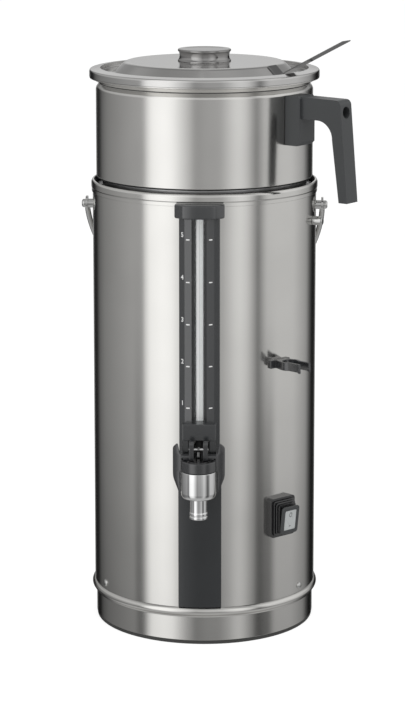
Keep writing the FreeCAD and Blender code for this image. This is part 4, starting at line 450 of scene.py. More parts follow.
# %% Spin a profile
def spun(rows, steps=192, turn=None):
    """A turned piece from rows of radius, height and, for a rounded corner, the length cut off each side."""
    bm = bmesh.new()
    corners = [bm.verts.new((row[0] * MM, 0, row[1] * MM)) for row in rows]
    bm.faces.new(corners)
    rounds = {}
    for row, corner in zip(rows, corners):
        if len(row) > 2:
            rounds.setdefault(row[2], []).append(corner)
    for width, group in rounds.items():
        bmesh.ops.bevel(bm, geom=group, offset=width * MM, segments=4, profile=0.5, affect="VERTICES",
                        material=-1)
    bmesh.ops.delete(bm, geom=bm.faces[:], context="FACES_ONLY")
    on_axis = [edge for edge in bm.edges if all(abs(v.co.x) < 1e-9 for v in edge.verts)]
    bmesh.ops.delete(bm, geom=on_axis, context="EDGES")
    bmesh.ops.spin(bm, geom=bm.verts[:] + bm.edges[:], cent=(0, 0, 0), axis=(0, 0, 1),
                   angle=2 * math.pi, steps=steps, use_merge=True)
    bmesh.ops.remove_doubles(bm, verts=bm.verts, dist=2e-6)
    if turn is not None:
        bmesh.ops.transform(bm, matrix=turn, verts=bm.verts)
    return bm


# %% [markdown]
# ## Foot and base
# The urn stands on a rubber ring with a step in its outer side. Above it the base is one sheet with a
# rolled bead, which catches a bright line of light all round. Both profiles are closed, so each piece is a
# real wall.

# %% Foot and base
finished("foot", spun([
    (94, 0, 0.5), (100, 0, 1.2), (100, 3.3, 0.3), (99.2, 3.5), (99.2, 12), (96.5, 12), (96.5, 6), (94, 3.5),
]), "urn", FOOT_RUBBER, ["foot_ring"])

finished("base_band", spun([
    (99.5, 3.6), (100.5, 3.6, 0.4), (100.5, 26.4, 1.4), (102.6, 27.6, 1.2), (104.4, 29.8, 1.2),
    (104.4, 32.4, 1.2), (102.9, 34.4, 0.8), (102.0, 34.9), (100.8, 34.9), (100.8, 52),
    (99.8, 52), (99.8, 33.9), (103.3, 31.1), (99.5, 27.3),
]), "urn", SATIN_STEEL, ["base_ring"])

# %% [markdown]
# ## Body and rim
# The body is a plain cylinder of sheet. Its top is a separate rolled ring with a moat inside it, where the
# basket stands, and a fine step in its outer side. The many steps of the spin keep the long reflections
# smooth.

# %% Body and rim
finished("body_skin", spun([
    (101, 35.0), (BODY_RADIUS, 35.0), (BODY_RADIUS, 406), (101, 406),
]), "urn", SATIN_STEEL, ["outer_shell"])

finished("body_rim", spun([
    (102.2, 399), (102.9, 399, 0.3), (102.9, 402.5, 0.2), (103.3, 403.3, 0.3), (103.3, 408.6, 1.5),
    (101.6, 410.1, 1.2), (99.5, 409.4, 0.4), (99.5, 403), (93.3, 403), (93.3, 402), (100.5, 402),
    (100.5, 408.7), (101.2, 408.8), (102.2, 407.2),
]), "urn", SATIN_STEEL, ["top_ring"])

# %% [markdown]
# ## Basket
# The filter basket is a deep pan. Its floor drops by a step, so that it centres in the urn's mouth, and its
# wall ends in a groove and a flared brim that carries the lid. One profile goes down the outside and up the
# inside.

# %% Basket
finished("basket_wall", spun([
    (5, 398), (6, 398), (6, 404, 1.0), (91.4, 406, 1.5), (91.4, 412.5), (98.6, 412.5, 0.6), (98.6, 493.8, 1.6),
    (95.3, 498, 0.8), (98.8, 499.9), (101.5, 501.8, 1.0), (104.2, 502.6), (104.2, 503.4),
    (98.2, 501), (94.3, 498.3), (94.3, 497.6), (97.6, 494), (97.6, 413.5), (90.4, 413.5), (90.4, 407), (5, 405),
]), "basket", BASKET_STEEL, ["filter_basket"])

# %% [markdown]
# ## Lid and knob
# The lid is pressed from one sheet: a flat disc, a cone down to a flat ring, and a raised brim with a
# skirt. The knob is turned from bar with a waist for the fingers. Its steel is shinier, so it mirrors the
# lid below it, and its colour is darkened as painted shade.

# %% Lid and knob
finished("lid_sheet", spun([
    (0, 516), (71.2, 516), (81.7, 506), (95.3, 506), (95.3, 510.3), (103.5, 508.9), (103.5, 503.7),
    (104.5, 503.7), (104.5, 508.9, 0.9), (103.6, 510.2, 0.5), (94.3, 511.5, 0.6), (94.3, 507, 0.8),
    (82.5, 507, 1.5), (71.7, 517, 2.5), (0, 517),
]), "lid", BRIGHT_STEEL, ["lid"])

finished("lid_grip", spun([
    (0, 517), (24.2, 517, 0.2), (24.2, 517.9, 0.3), (23.1, 519.2, 0.5), (22.6, 521.2, 0.8), (22.7, 523.6, 0.8),
    (23.3, 525.3, 0.6), (24.2, 526.4, 0.4), (24.2, 527.5, 0.4), (23.4, 528.1, 0.3), (20.6, 528.0, 0.4),
    (19.0, 527.5, 0.4), (0, 527.5),
], steps=128), "lid", SHADED_TURNED_STEEL, ["lid_knob"])

# %% [markdown]
# ## Pushing out an outline
# The moulded pieces on the front have flat faces and soft edges. A block could be cut down to them, but
# they are simpler as an outline that is pushed along one way: extrude gives the sides, and a small bevel
# breaks the edges. Two forms are needed, one pushed outwards from an upright outline and one pushed up from
# a plan.

# %% Soften, push and join
def soften(bm, width, segments=2, over=35.0):
    """A small round along every edge that turns by more than an angle."""
    edges = [edge for edge in bm.edges
             if edge.is_manifold and edge.calc_face_angle(0.0) > math.radians(over)]
    bmesh.ops.bevel(bm, geom=edges, offset=width * MM, segments=segments, profile=0.5, affect="EDGES",
                    clamp_overlap=True, material=-1)


def extruded(corners, step, edge, segments):
    """A flat outline of corners, pushed by a step and then softened, all in millimetres."""
    bm = bmesh.new()
    face = bm.faces.new([bm.verts.new([length * MM for length in corner]) for corner in corners])
    grown = bmesh.ops.extrude_face_region(bm, geom=[face])
    moved = [item for item in grown["geom"] if isinstance(item, bmesh.types.BMVert)]
    bmesh.ops.translate(bm, vec=[length * MM for length in step], verts=moved)
    bmesh.ops.recalc_face_normals(bm, faces=bm.faces)
    if edge:
        soften(bm, edge, segments)
    return bm


def pushed(points, low, high, edge=0.4, segments=2):
    """An outline in X and height, pushed outwards from one reach to another."""
    return extruded([(x, -low, z) for x, z in points], (0, low - high, 0), edge, segments)


def raised(points, low, high, edge=0.4, segments=2):
    """A plan in X and reach, pushed up from one height to another."""
    return extruded([(x, -reach, low) for x, reach in points], (0, 0, high - low), edge, segments)


def turned(bm, matrix):
    bmesh.ops.transform(bm, matrix=matrix, verts=bm.verts)
    return bm


def merged(*meshes):
    """Several bmeshes as one."""
    whole = bmesh.new()
    for bm in meshes:
        part = bpy.data.meshes.new("part")
        bm.to_mesh(part)
        bm.free()
        whole.from_mesh(part)
        bpy.data.meshes.remove(part)
    return whole


# %% Round a rectangle's corners
def round_corners(width, height, corner, middle=0.0, steps=6):
    """The corners of a rectangle with round corners, centred at a height."""
    points = []
    for side, end, start in ((1, -1, -90), (1, 1, 0), (-1, 1, 90), (-1, -1, 180)):
        for step in range(steps + 1):
            angle = math.radians(start + 90 * step / steps)
            points.append((side * (width / 2 - corner) + corner * math.cos(angle),
                           middle + end * (height / 2 - corner) + corner * math.sin(angle)))
    return points


# %% [markdown]
# ## Sight gauge
# The gauge's column is moulded plastic with a slot down its middle, a nose below the slot and two short
# legs beside the tap. Its front is two slightly tilted faces and its sides tilt more, and the right one is
# the steeper, which gives it the light left face and the dark right one. A plan pushed up keeps those faces
# flat from end to end.

# %% Column
COLUMN_FOOT = 178.5
COLUMN_LOW = 192.8
SLOT_LOW = 207.6
COLUMN_TOP = 389.6
RIGHT_SIDE = [(17.9, 100.5), (17.9, 107.0), (17.2, 107.6), (13.2, 109.9), (12.9, 110.1), (6.6, 113.2)]
SLOT = [(6.6, 103.3), (-6.6, 103.3)]
LEFT_SIDE = [(-6.6, 113.2), (-12.9, 111.45), (-13.2, 111.2), (-17.2, 108.0), (-17.9, 107.0), (-17.9, 100.5)]
BACK = [(-9.0, 101.7), (0.0, 102.1), (9.0, 101.7)]
slotted = raised(RIGHT_SIDE + SLOT + LEFT_SIDE + BACK, SLOT_LOW, COLUMN_TOP, edge=0)
solid = raised(RIGHT_SIDE + LEFT_SIDE + BACK, COLUMN_LOW, SLOT_LOW, edge=0)
flanks = [raised([(14.7, 101.0), (17.9, 100.5), (17.9, 107.0), (17.2, 107.6), (14.7, 109.0)],
                 COLUMN_FOOT, COLUMN_LOW, edge=0),
          raised([(-14.7, 101.0), (-17.9, 100.5), (-17.9, 107.0), (-17.2, 108.0), (-14.7, 110.0)],
                 COLUMN_FOOT, COLUMN_LOW, edge=0)]
nose = pushed(round_corners(29.4, 15.0, 0.8, middle=200.2), 105, 118.2, edge=0.7, segments=3)
legs = [turned(pushed(round_corners(5.7, 11.5, 0.6, middle=188.0), 109, 118.0, edge=0.5), at(x, 0, 0))
        for x in (-11.85, 11.85)]
finished("gauge_column", merged(slotted, solid, *flanks, nose, *legs), "urn", COLUMN_PLASTIC,
         ["gauge_housing"], sharp=14.0)

# %% [markdown]
# ## Cap of the gauge
# A wider cap closes the column at the top and holds the glass. Half of its plan is written down and
# mirrored.

# %% Cap
CAP_TOP = 402.0
CAP_SIDE = [(21.9, 99.8), (21.9, 106.2), (20.6, 108.4), (15.4, 113.0), (13.0, 114.0), (6.0, 115.3)]
CAP_BACK = [(-10, 101.7), (0, 102.4), (10, 101.7)]
cap_plan = CAP_SIDE + [(-x, reach) for x, reach in reversed(CAP_SIDE)] + CAP_BACK
finished("gauge_cap_shell", raised(cap_plan, COLUMN_TOP, CAP_TOP, edge=1.5, segments=4), "urn",
         COLUMN_PLASTIC, ["gauge_cap"], sharp=22.0)

# %% [markdown]
# ## Glass of the gauge
# The glass is a plain tube with ground ends. It casts no shadow on the strip behind it, because a render
# takes clear glass for a solid blocker when it looks for the lamps, and the real strip is bright.

# %% Glass
GLASS_REACH = 107.8
tube = finished("gauge_tube", spun([(2.7, 197.5), (4.0, 197.5, 0.2), (4.0, 395.0, 0.2), (2.7, 395.0)], steps=64,
                                   turn=at(0, -GLASS_REACH, 0)), "urn", GLASS, ["gauge_glass"])
tube.visible_shadow = False
tube.visible_diffuse = False

# %% [markdown]
# ## Marks on the gauge
# Plain numbers from 1 to 5 stand beside pairs of dashes, printed in white. A picture of them could be laid
# on the plastic, but would blur from close by. As meshes, a hair's breadth proud of the faces, they stay
# crisp. The numbers stand on the left side face and the dashes on the two front faces, so each is turned to
# its own face.

# %% Place of the marks
MARKS = {"1": 221.0, "2": 258.5, "3": 296.0, "4": 333.7, "5": 371.5}
NUMBER_SIZE = 5.8
NUMBER_X, NUMBER_REACH, NUMBER_TURN, NUMBER_RISE = -14.9, 109.92, -38.7, 4.0
DASHES = [(-10.0, 112.30, -15.5), (10.0, 111.55, 26.2)]
INK = 0.04


def around(azimuth):
    """The turn about the upright axis that takes a piece facing the tap side to its azimuth."""
    return Matrix.Rotation(math.radians(azimuth), 4, "Z")


# %% Numbers and dashes
def lettered(text, size):
    """A number as a mesh, standing upright in the plane that faces the tap side."""
    curve = bpy.data.curves.new("lettering", "FONT")
    curve.body = text
    curve.size = size * MM
    curve.extrude = INK * MM
    curve.offset = 0.11 * MM
    curve.align_x = "CENTER"
    curve.align_y = "CENTER"
    holder = bpy.data.objects.new("lettering", curve)
    bpy.context.scene.collection.objects.link(holder)
    bpy.context.view_layer.update()
    mesh = bpy.data.meshes.new_from_object(holder)
    bm = bmesh.new()
    bm.from_mesh(mesh)
    bpy.data.objects.remove(holder)
    bpy.data.meshes.remove(mesh)
    return turned(bm, Matrix.Rotation(math.radians(90), 4, "X"))


figures = []
for text, height in MARKS.items():
    figures.append(turned(lettered(text, NUMBER_SIZE),
                          at(NUMBER_X, -NUMBER_REACH, height + NUMBER_RISE) @ around(NUMBER_TURN)))
    for x, reach, tilted in DASHES:
        dash = pushed(round_corners(3.3, 1.0, 0.2), -INK, INK, edge=0)
        figures.append(turned(dash, at(x, -reach, height) @ around(tilted)))
finished("gauge_marks", merged(*figures), "urn", MARK_PAINT)

# %% [markdown]
# ## Tap
# The cup and its nozzle are one chromed casting, turned all over, with a groove near the nozzle's tip. One
# profile spun round the tap's own axis gives both. The inlet and its flange lie on the outward axis, so
# they are spun in the same way and laid down.

# %% Cup, nozzle and inlet
TAP_REACH = 126.0
INLET_HEIGHT = 158.0
tap_axis = at(0, -TAP_REACH, 0)


def outwards(x, z):
    """The move that lays a piece spun about Z along the outward direction, at a height."""
    return at(x, 0, z) @ Matrix.Rotation(math.radians(90), 4, "X")


cup = spun([
    (4.5, 124.6), (7.5, 124.6, 0.4), (7.9, 125.2, 0.3), (7.9, 126.9, 0.3), (7.4, 127.3, 0.15),
    (7.4, 127.9, 0.15), (7.9, 128.3, 0.3), (7.9, 130.2, 0.3), (7.5, 130.8, 0.4), (7.5, 143.0, 0.9),
    (11.0, 143.0, 1.0), (14.4, 144.3, 1.6), (15.5, 147.4, 1.6), (15.5, 168.0, 0.5), (13.0, 168.0, 0.3),
    (13.0, 147.0), (4.5, 147.0),
], steps=128, turn=tap_axis)
inlet = spun([(5.0, 92.0), (8.0, 92.0, 0.3), (8.0, 115.0), (5.0, 115.0)], steps=96,
             turn=outwards(0, INLET_HEIGHT))
flange = spun([(7.9, 104.7), (12.0, 104.7, 0.5), (12.0, 110.7, 0.8), (7.9, 110.7)], steps=96,
              turn=outwards(0, INLET_HEIGHT))
finished("tap_casting", merged(cup, inlet, flange), "urn", CHROME, ["tap_body"])

# %% [markdown]
# ## Tap lever
# The lever is one dark moulding: an open skirt in front of the bonnet, two shoulders, a fork that carries
# the pin, and a broad cheek on each side for the fingers. The skirt is spun and then cut open, and the fork
# and the shoulders are side outlines pushed across.

# %% Push a side outline across
LAID_ACROSS = Matrix(((0, 0, 1, 0), (-1, 0, 0, 0), (0, -1, 0, 0), (0, 0, 0, 1)))


def across(points, low, high, edge=0.4, segments=2):
    """A side outline in reach and height, pushed along X."""
    return turned(raised(points, low, high, edge, segments), LAID_ACROSS)


def arc(x, y, radius, start, stop, steps=12):
    """Points on an arc, from one angle to another in degrees."""
    return [(x + radius * math.cos(math.radians(start + (stop - start) * step / steps)),
             y + radius * math.sin(math.radians(start + (stop - start) * step / steps)))
            for step in range(steps + 1)]


# %% Skirt, shoulders and fork
skirt = spun([(13.5, 168.4, 0.3), (15.6, 168.4, 0.6), (15.6, 177.7, 0.7), (13.5, 177.7, 0.4)], steps=128)
bmesh.ops.bisect_plane(skirt, geom=skirt.verts[:] + skirt.edges[:] + skirt.faces[:], plane_co=(0, 5.0 * MM, 0),
                       plane_no=(0, 1, 0), clear_outer=True)
bmesh.ops.holes_fill(skirt, edges=skirt.edges[:], sides=0)
turned(skirt, tap_axis)
FORK_SIDE = [(129.5, 177.5), (129.5, 191.5)] + arc(TAP_REACH, 191.5, 3.5, 0, 180) + [(122.5, 177.5)]
SHOULDER_SIDE = [(128.0, 177.5), (128.0, 181.0), (126.6, 182.1), (120.6, 182.1), (120.6, 177.5)]
DROP_SIDE = [(128.0, 172.0), (128.0, 180.0), (121.1, 180.0), (121.1, 172.0)]
prongs = [across(FORK_SIDE, low, low + 4.1, edge=0.5, segments=3) for low in (-8.2, 4.1)]
shoulders = [across(SHOULDER_SIDE, low, low + 11.5, edge=0.6, segments=3) for low in (4.1, -15.6)]
drops = [across(DROP_SIDE, low, low + 2.0, edge=0.4) for low in (13.4, -15.4)]
print("prongs", len(prongs), "shoulders", len(shoulders))

# %% [markdown]
# ## Cheeks of the lever
# Each cheek is a leaf, thick in the middle and thin at its rims, and swept back at its outer edge. No
# outline pushed one way gives that, so it is lofted: a rounded section at each height, joined to the next
# by bridge_loops.

# %% Cheeks
CHEEK_ROWS = [
    (148.5, 16.3, 17.4, 1.6), (149.6, 16.3, 18.2, 2.2), (153.0, 16.3, 19.6, 2.5), (157.0, 16.3, 21.2, 2.6),
    (160.0, 16.3, 22.4, 2.6), (162.5, 16.3, 22.9, 2.6), (166.0, 16.3, 23.0, 2.6), (168.6, 14.2, 23.0, 2.6),
    (174.0, 14.2, 23.0, 2.6), (180.0, 14.2, 23.0, 2.6), (182.0, 14.6, 23.0, 2.6), (183.2, 16.4, 23.0, 2.6),
    (185.0, 17.0, 23.0, 2.5), (187.0, 17.4, 23.0, 2.3), (188.6, 17.7, 22.4, 2.0), (190.2, 18.0, 21.0, 1.7),
    (191.6, 18.4, 19.6, 1.1),
]
SECTION_POINTS = 20
CHEEK_REACH = 125.4


def squared(share, power):
    """A sine or cosine pushed towards its ends, which makes a round section fuller."""
    return math.copysign(abs(share) ** power, share)


def cheek(side):
    """One cheek, from rows of height, inner edge, outer edge and thickness."""
    bm = bmesh.new()
    loops = []
    for height, inner, outer, thick in CHEEK_ROWS:
        ring = []
        for step in range(SECTION_POINTS):
            angle = 2 * math.pi * step / SECTION_POINTS
            x = inner + (outer - inner) * (0.5 + 0.5 * squared(math.cos(angle), 0.6))
            swept = 5.2 * ((x - 14.0) / 9.5) ** 1.3
            reach = CHEEK_REACH - swept + 0.5 * thick * squared(math.sin(angle), 0.7)
            ring.append(bm.verts.new((side * x * MM, -reach * MM, height * MM)))
        loops.append([bm.edges.new((ring[number - 1], ring[number])) for number in range(SECTION_POINTS)])
    for here, there in zip(loops, loops[1:]):
        bmesh.ops.bridge_loops(bm, edges=here + there)
    bmesh.ops.holes_fill(bm, edges=bm.edges[:], sides=0)
    bmesh.ops.recalc_face_normals(bm, faces=bm.faces)
    return bm


finished("tap_handle", merged(skirt, *prongs, *shoulders, *drops, cheek(-1), cheek(1)), "lever",
         LEVER_PLASTIC, ["tap_lever"], sharp=35.0)

# %% [markdown]
# ## Lever pin
# A small steel bar across the fork is the lever's hinge. It shows as one bright glint between the prongs.

# %% Pin
PIN_HEIGHT = 187.0
ALONG_X = Matrix.Rotation(math.radians(90), 4, "Y")
finished("tap_pin", spun([(0, -8.5), (1.25, -8.5, 0.2), (1.25, 8.5, 0.2), (0, 8.5)], steps=32,
                         turn=at(0, -TAP_REACH, PIN_HEIGHT) @ ALONG_X),
         "lever", CHROME, ["lever_pin"])

# %% [markdown]
# ## Lower trim strip
# Below the tap a thin dark strip runs down to the base. It follows the body's round front, so its plan is
# worked out from two radii and pushed up.

# %% Strip
STRIP_LOW = 35.4


def curved(radius, stations):
    """Points in X and reach on a circle round the axis."""
    return [(x, math.sqrt(radius ** 2 - x ** 2)) for x in stations]


STATIONS = (19.2, 14, 7, 0, -7, -14, -19.2)
strip_plan = curved(103.8, STATIONS) + curved(102.1, STATIONS[::-1])
finished("trim_strip", raised(strip_plan, STRIP_LOW, COLUMN_FOOT, edge=0.45), "urn",
         TRIM_PLASTIC, ["lower_trim"], sharp=30.0)

# %% [markdown]
# ## Frames
# The rocker switch is a set of frames inside one another. A frame could be a block with a hole cut through
# it, but a boolean leaves untidy faces. Two outlines with as many corners each, bridged front and back,
# give clean ones.

# %% Make a frame
def framed(outside, inside, low, high, edge=0.3):
    """A frame between two outlines with equal numbers of corners, pushed outwards."""
    bm = bmesh.new()
    loops = []
    for points, reach in ((outside, low), (outside, high), (inside, high), (inside, low)):
        ring = [bm.verts.new((x * MM, -reach * MM, z * MM)) for x, z in points]
        loops.append([bm.edges.new((ring[number - 1], ring[number])) for number in range(len(ring))])
    for here, there in zip(loops, loops[1:] + loops[:1]):
        bmesh.ops.bridge_loops(bm, edges=here + there)
    bmesh.ops.recalc_face_normals(bm, faces=bm.faces)
    if edge:
        soften(bm, edge)
    return bm


# %% [markdown]
# ## Bezel and boot of the switch
# A bezel is let into the body on the right front, and a ribbed rubber boot in it keeps splashes out. Each
# rib is a frame on a slightly narrower one, so that dark grooves show between them.

# %% Bezel and boot
SWITCH_AZIMUTH = 43.5
SWITCH_HEIGHT = 113.6
RIBS = 3
RIB_PITCH = 1.95
BOOT_FRONT = 107.6
to_switch = around(SWITCH_AZIMUTH)
bezel = framed(round_corners(28.6, 36.0, 3.0, SWITCH_HEIGHT), round_corners(23.0, 29.0, 2.0, SWITCH_HEIGHT),
               100.4, BOOT_FRONT, edge=0.8)
finished("switch_frame", turned(bezel, to_switch), "urn", BLACK_PLASTIC, ["switch_bezel"])

BOOT_HOLE = round_corners(16.2, 22.0, 2.0, SWITCH_HEIGHT)
boot = [framed(round_corners(22.8, 28.8, 2.0, SWITCH_HEIGHT), BOOT_HOLE, 102.3, 107.7, edge=0)]
for number in range(RIBS):
    width = 25.2 - 2.6 * number
    height = 31.4 - 2.6 * number
    low = BOOT_FRONT + RIB_PITCH * number
    boot.append(framed(round_corners(width - 2.4, height - 2.4, 2.0, SWITCH_HEIGHT), BOOT_HOLE, low, low + 0.8,
                       edge=0))
    boot.append(framed(round_corners(width, height, 2.4, SWITCH_HEIGHT), BOOT_HOLE, low + 0.75,
                       low + RIB_PITCH, edge=0.42))
finished("switch_bellows", turned(merged(*boot), to_switch), "urn", BOOT_RUBBER,
         ["switch_boot"])

# %% [markdown]
# ## Rocker of the switch
# The rocker's pale window looks out of the boot, with an O and a dash on it. All of it is tilted about the
# rocker's own pivot, as it rests in the photo, so one matrix serves the rocker, its window and its marks.

# %% Rocker
PIVOT = 106.2
REST_TILT = 7
tilt = (to_switch @ at(0, -PIVOT, SWITCH_HEIGHT) @ Matrix.Rotation(math.radians(REST_TILT), 4, "X")
        @ at(0, PIVOT, -SWITCH_HEIGHT))
WINDOW_OUTLINE = round_corners(13.6, 18.5, 1.2, SWITCH_HEIGHT)
rocker = merged(
    framed(round_corners(20.0, 25.5, 2.6, SWITCH_HEIGHT), WINDOW_OUTLINE, 115.2, 117.5, edge=0.6),
    pushed(round_corners(14.8, 19.2, 1.2, SWITCH_HEIGHT), PIVOT, 115.6, edge=0),
    spun([(0, -7.3), (2.5, -7.3), (2.5, 7.3), (0, 7.3)], steps=32, turn=at(0, -PIVOT, SWITCH_HEIGHT) @ ALONG_X))
finished("switch_key", turned(rocker, tilt), "rocker", DARK_PLASTIC, ["switch_rocker"])

# %% Window and its marks
window = pushed(WINDOW_OUTLINE, 116.1, 117.1, edge=0.25)
finished("switch_lens", turned(window, tilt), "rocker", WINDOW_PLASTIC, ["switch_window"])

MARK_LOW, MARK_HIGH = 117.08, 117.14
OFF_HEIGHT = SWITCH_HEIGHT + 5.0
off_mark = framed(round_corners(3.0, 4.2, 1.3, OFF_HEIGHT), round_corners(2.1, 3.3, 0.9, OFF_HEIGHT),
                  MARK_LOW, MARK_HIGH, edge=0)
on_mark = pushed(round_corners(1.9, 0.6, 0.15, SWITCH_HEIGHT - 5.6), MARK_LOW, MARK_HIGH, edge=0)
finished("switch_marks", turned(merged(off_mark, on_mark), tilt), "rocker", BLACK_PLASTIC)

# %% [markdown]
# ## Holder clip
# A springy open ring on a wedge-shaped neck holds a tool by its handle, with two prongs that turn down at
# their tips. One plan pushed up gives the neck, the ring and the prongs. Small blocks give the hooks and
# the curved foot on the body. The clip tips up by a little, as the real one does.

# %% Clip
CLIP_AZIMUTH = 43.0
CLIP_LOW, CLIP_HIGH, CLIP_MIDDLE = 250.5, 258.0, 254
CLIP_TIP_UP = 2
PRONG_TIP = 136.0
ring_reach = BODY_RADIUS + 14.7
right = [(5.0, 101.4)] + arc(0, ring_reach, 9.1, -8, 38.7) + [(7.1, PRONG_TIP), (4.8, PRONG_TIP)]
left = [(-x, reach) for x, reach in reversed(right)]
clip_plan = right + arc(0, ring_reach, 6.8, 45.1, -225.1, 32) + left
HOOK_SIDE = [(PRONG_TIP, 249.5), (PRONG_TIP, 252.0), (133.7, 252.0), (133.7, 250.3)]
FOOT_STATIONS = (11.5, 6, 0, -6, -11.5)
clip_foot = curved(104.8, FOOT_STATIONS) + curved(102.0, FOOT_STATIONS[::-1])
clip = merged(raised(clip_plan, CLIP_LOW, CLIP_HIGH, edge=0.5, segments=3),
              raised(clip_foot, CLIP_LOW, CLIP_HIGH, edge=0.6),
              across(HOOK_SIDE, 4.8, 7.1, edge=0.4), across(HOOK_SIDE, -7.1, -4.8, edge=0.4))
tipped = (at(0, -BODY_RADIUS, CLIP_MIDDLE) @ Matrix.Rotation(math.radians(-CLIP_TIP_UP), 4, "X")
          @ at(0, BODY_RADIUS, -CLIP_MIDDLE))
finished("tool_clip", turned(clip, around(CLIP_AZIMUTH) @ tipped), "urn", LEVER_PLASTIC,
         ["holder_clip"], sharp=35.0)

# %% [markdown]
# ## Turned fastenings
# Two bolts carry the bail, a stud on the right stops it, and three dome screws hold the base. All are
# turned heads on the outward axis, so each is a spun profile, laid down and taken round to its azimuth.

# %% Bolts and stop
BOLT_HEIGHT = 385.7
bolts = [turned(spun([(0, 98.0), (3.0, 98.0), (3.0, 108.7), (3.9, 108.7, 0.3), (3.9, 111.2, 0.9),
                      (2.6, 112.3, 0.5), (0, 112.3)], steps=48, turn=outwards(0, BOLT_HEIGHT)), around(azimuth))
         for azimuth in (-90, 90)]
finished("pivot_bolts", merged(*bolts), "urn", DRAWN_STEEL, ["bail_bolts"])

STOP_AZIMUTH = 76
STOP_HEIGHT = 375.0
stop = spun([(0, 98.0), (3.0, 98.0), (3.0, 102.1), (4.1, 102.1, 0.3), (4.1, 110.6, 0.9), (3.2, 111.5, 0.5),
             (0, 111.5)], steps=48, turn=outwards(0, STOP_HEIGHT))
finished("stop_stud", turned(stop, around(STOP_AZIMUTH)), "urn", DRAWN_STEEL, ["bail_stop"])

# %% Dome screws
DOME_HEIGHT = 41.0
domes = [turned(spun([(0, 96.8), (1.7, 96.8), (1.7, 101.95), (3.3, 101.95, 0.1), (3.3, 102.4, 0.25),
                      (2.6, 103.4, 0.5), (0, 104.0)], steps=40, turn=outwards(0, DOME_HEIGHT)), around(azimuth))
         for azimuth in (60, 180, 300)]
finished("base_domes", merged(*domes), "urn", DRAWN_STEEL, ["base_screws"])

# %% [markdown]
# ## Thumb lever
# The lid is lifted by a bent strip of steel. Its foot is welded to the lid's cone, and its long leg rises
# over the rim. Its side outline is worked out from the cone's slope and the leg's angle, and pushed across,
# which keeps the strip one millimetre thick right through the bend.

# %% Thumb lever
THUMB_AZIMUTH = 57.8
FOOT_LENGTH = 13.2
LEG_LENGTH = 77
slope = math.atan2(10.0, 10.8)
leg = math.radians(27)
bend = (82.1, 507.0 + 0.4 * math.tan(slope))
foot_end = (bend[0] - FOOT_LENGTH * math.cos(slope), bend[1] + FOOT_LENGTH * math.sin(slope))
tip = (bend[0] + LEG_LENGTH * math.cos(leg), bend[1] + LEG_LENGTH * math.sin(leg))
half = (slope + leg) / 2
inner_bend = (bend[0] + math.sin(slope) - math.tan(half) * math.cos(slope),
              bend[1] + math.cos(slope) + math.tan(half) * math.sin(slope))
thumb = across([tip, bend, foot_end, (foot_end[0] + math.sin(slope), foot_end[1] + math.cos(slope)), inner_bend,
                (tip[0] - math.sin(leg), tip[1] + math.cos(leg))], -6.7, 6.7, edge=0.25)
finished("lid_strip", turned(thumb, around(THUMB_AZIMUTH)), "lid", SHADED_STEEL,
         ["lid_thumb_lever"])

# %% [markdown]
# ## Camera
# The photograph is taken from the front and a little above, with a long lens held level and shifted down a
# long way. Here a small shift and a slight pitch come near to it, and keep the urn's sides nearly upright.
# The focal length is counted in pixels of the picture, so it is turned into millimetres of film.

# %% Camera
bpy.context.scene.view_settings.view_transform = "Standard"
CAMERA_DISTANCE = 2.288
CAMERA_HEIGHT = 0.7482
CAMERA_AZIMUTH = 2.351
CAMERA_PITCH = 9.28
PICTURE_HEIGHT = 720
FOCAL_PIXELS = 2533.2
SHIFT_PIXELS = -1.96
FILM = 36.0
camera_data = bpy.data.cameras.new("camera")
camera_data.sensor_width = FILM
camera_data.lens = FOCAL_PIXELS / PICTURE_HEIGHT * FILM
camera_data.shift_y = -0.2
camera_data.shift_x = SHIFT_PIXELS / PICTURE_HEIGHT
camera_data.clip_start = 0.05
camera = bpy.data.objects.new("camera", camera_data)
bpy.context.scene.collection.objects.link(camera)
bearing = math.radians(CAMERA_AZIMUTH)
camera.location = (CAMERA_DISTANCE * math.sin(bearing), -CAMERA_DISTANCE * math.cos(bearing), CAMERA_HEIGHT)
camera.rotation_euler = (math.radians(90 - CAMERA_PITCH), 0, bearing)
bpy.context.scene.camera = camera
print("lens", round(camera_data.lens, 1), "mm")

# %% [markdown]
# ## Floor
# The photograph has a white ground that fades into a white background. More light would bleach the urn, so
# the floor looks white to the camera alone: a glow of 0.84, and a little diffuse white that keeps the urn's
# soft shadow. Other rays meet a plain pale floor, which the polished steel doesn't mirror, as it doesn't in
# the photo.

# %% Floor
floor_mesh = bmesh.new()
bmesh.ops.create_grid(floor_mesh, x_segments=1, y_segments=1, size=40.0)
floor_data = bpy.data.meshes.new("floor")
floor_mesh.to_mesh(floor_data)
floor_mesh.free()
floor = bpy.data.objects.new("floor", floor_data)
bpy.context.scene.collection.objects.link(floor)

floor_look = Finish("floor_look", Roughness=0.8, Base_Color=(0.93, 0.93, 0.93, 1))
glow = floor_look.node("ShaderNodeEmission", Color=(1, 1, 1, 1), Strength=0.84)
shadowed = floor_look.node("ShaderNodeBsdfDiffuse", Color=(0.3, 0.3, 0.3, 1))
white_floor = floor_look.node("ShaderNodeAddShader", None, shadowed.outputs[0], glow.outputs[0])
path = floor_look.node("ShaderNodeLightPath")
either = floor_look.node("ShaderNodeMixShader", None, path.outputs["Is Camera Ray"],
                         floor_look.shader.outputs[0], white_floor.outputs[0])
floor_look.feed(floor_look.tree.nodes["Material Output"].inputs["Surface"], either.outputs[0])
floor.data.materials.append(floor_look.material)
floor.visible_glossy = False
print("floor", [round(side) for side in floor.dimensions], "m")

# %% [markdown]
# ## The room that the metal mirrors
# Round steel shows the room as upright bands, so the room matters more here than lamps do. Panels could be
# built round the urn, but a ramp round the compass is smoother to set: a tall soft panel on the left with a
# sharp edge, a dimmer one on the right, and dark gaps between and behind. A bearing is counted from the
# camera in degrees.

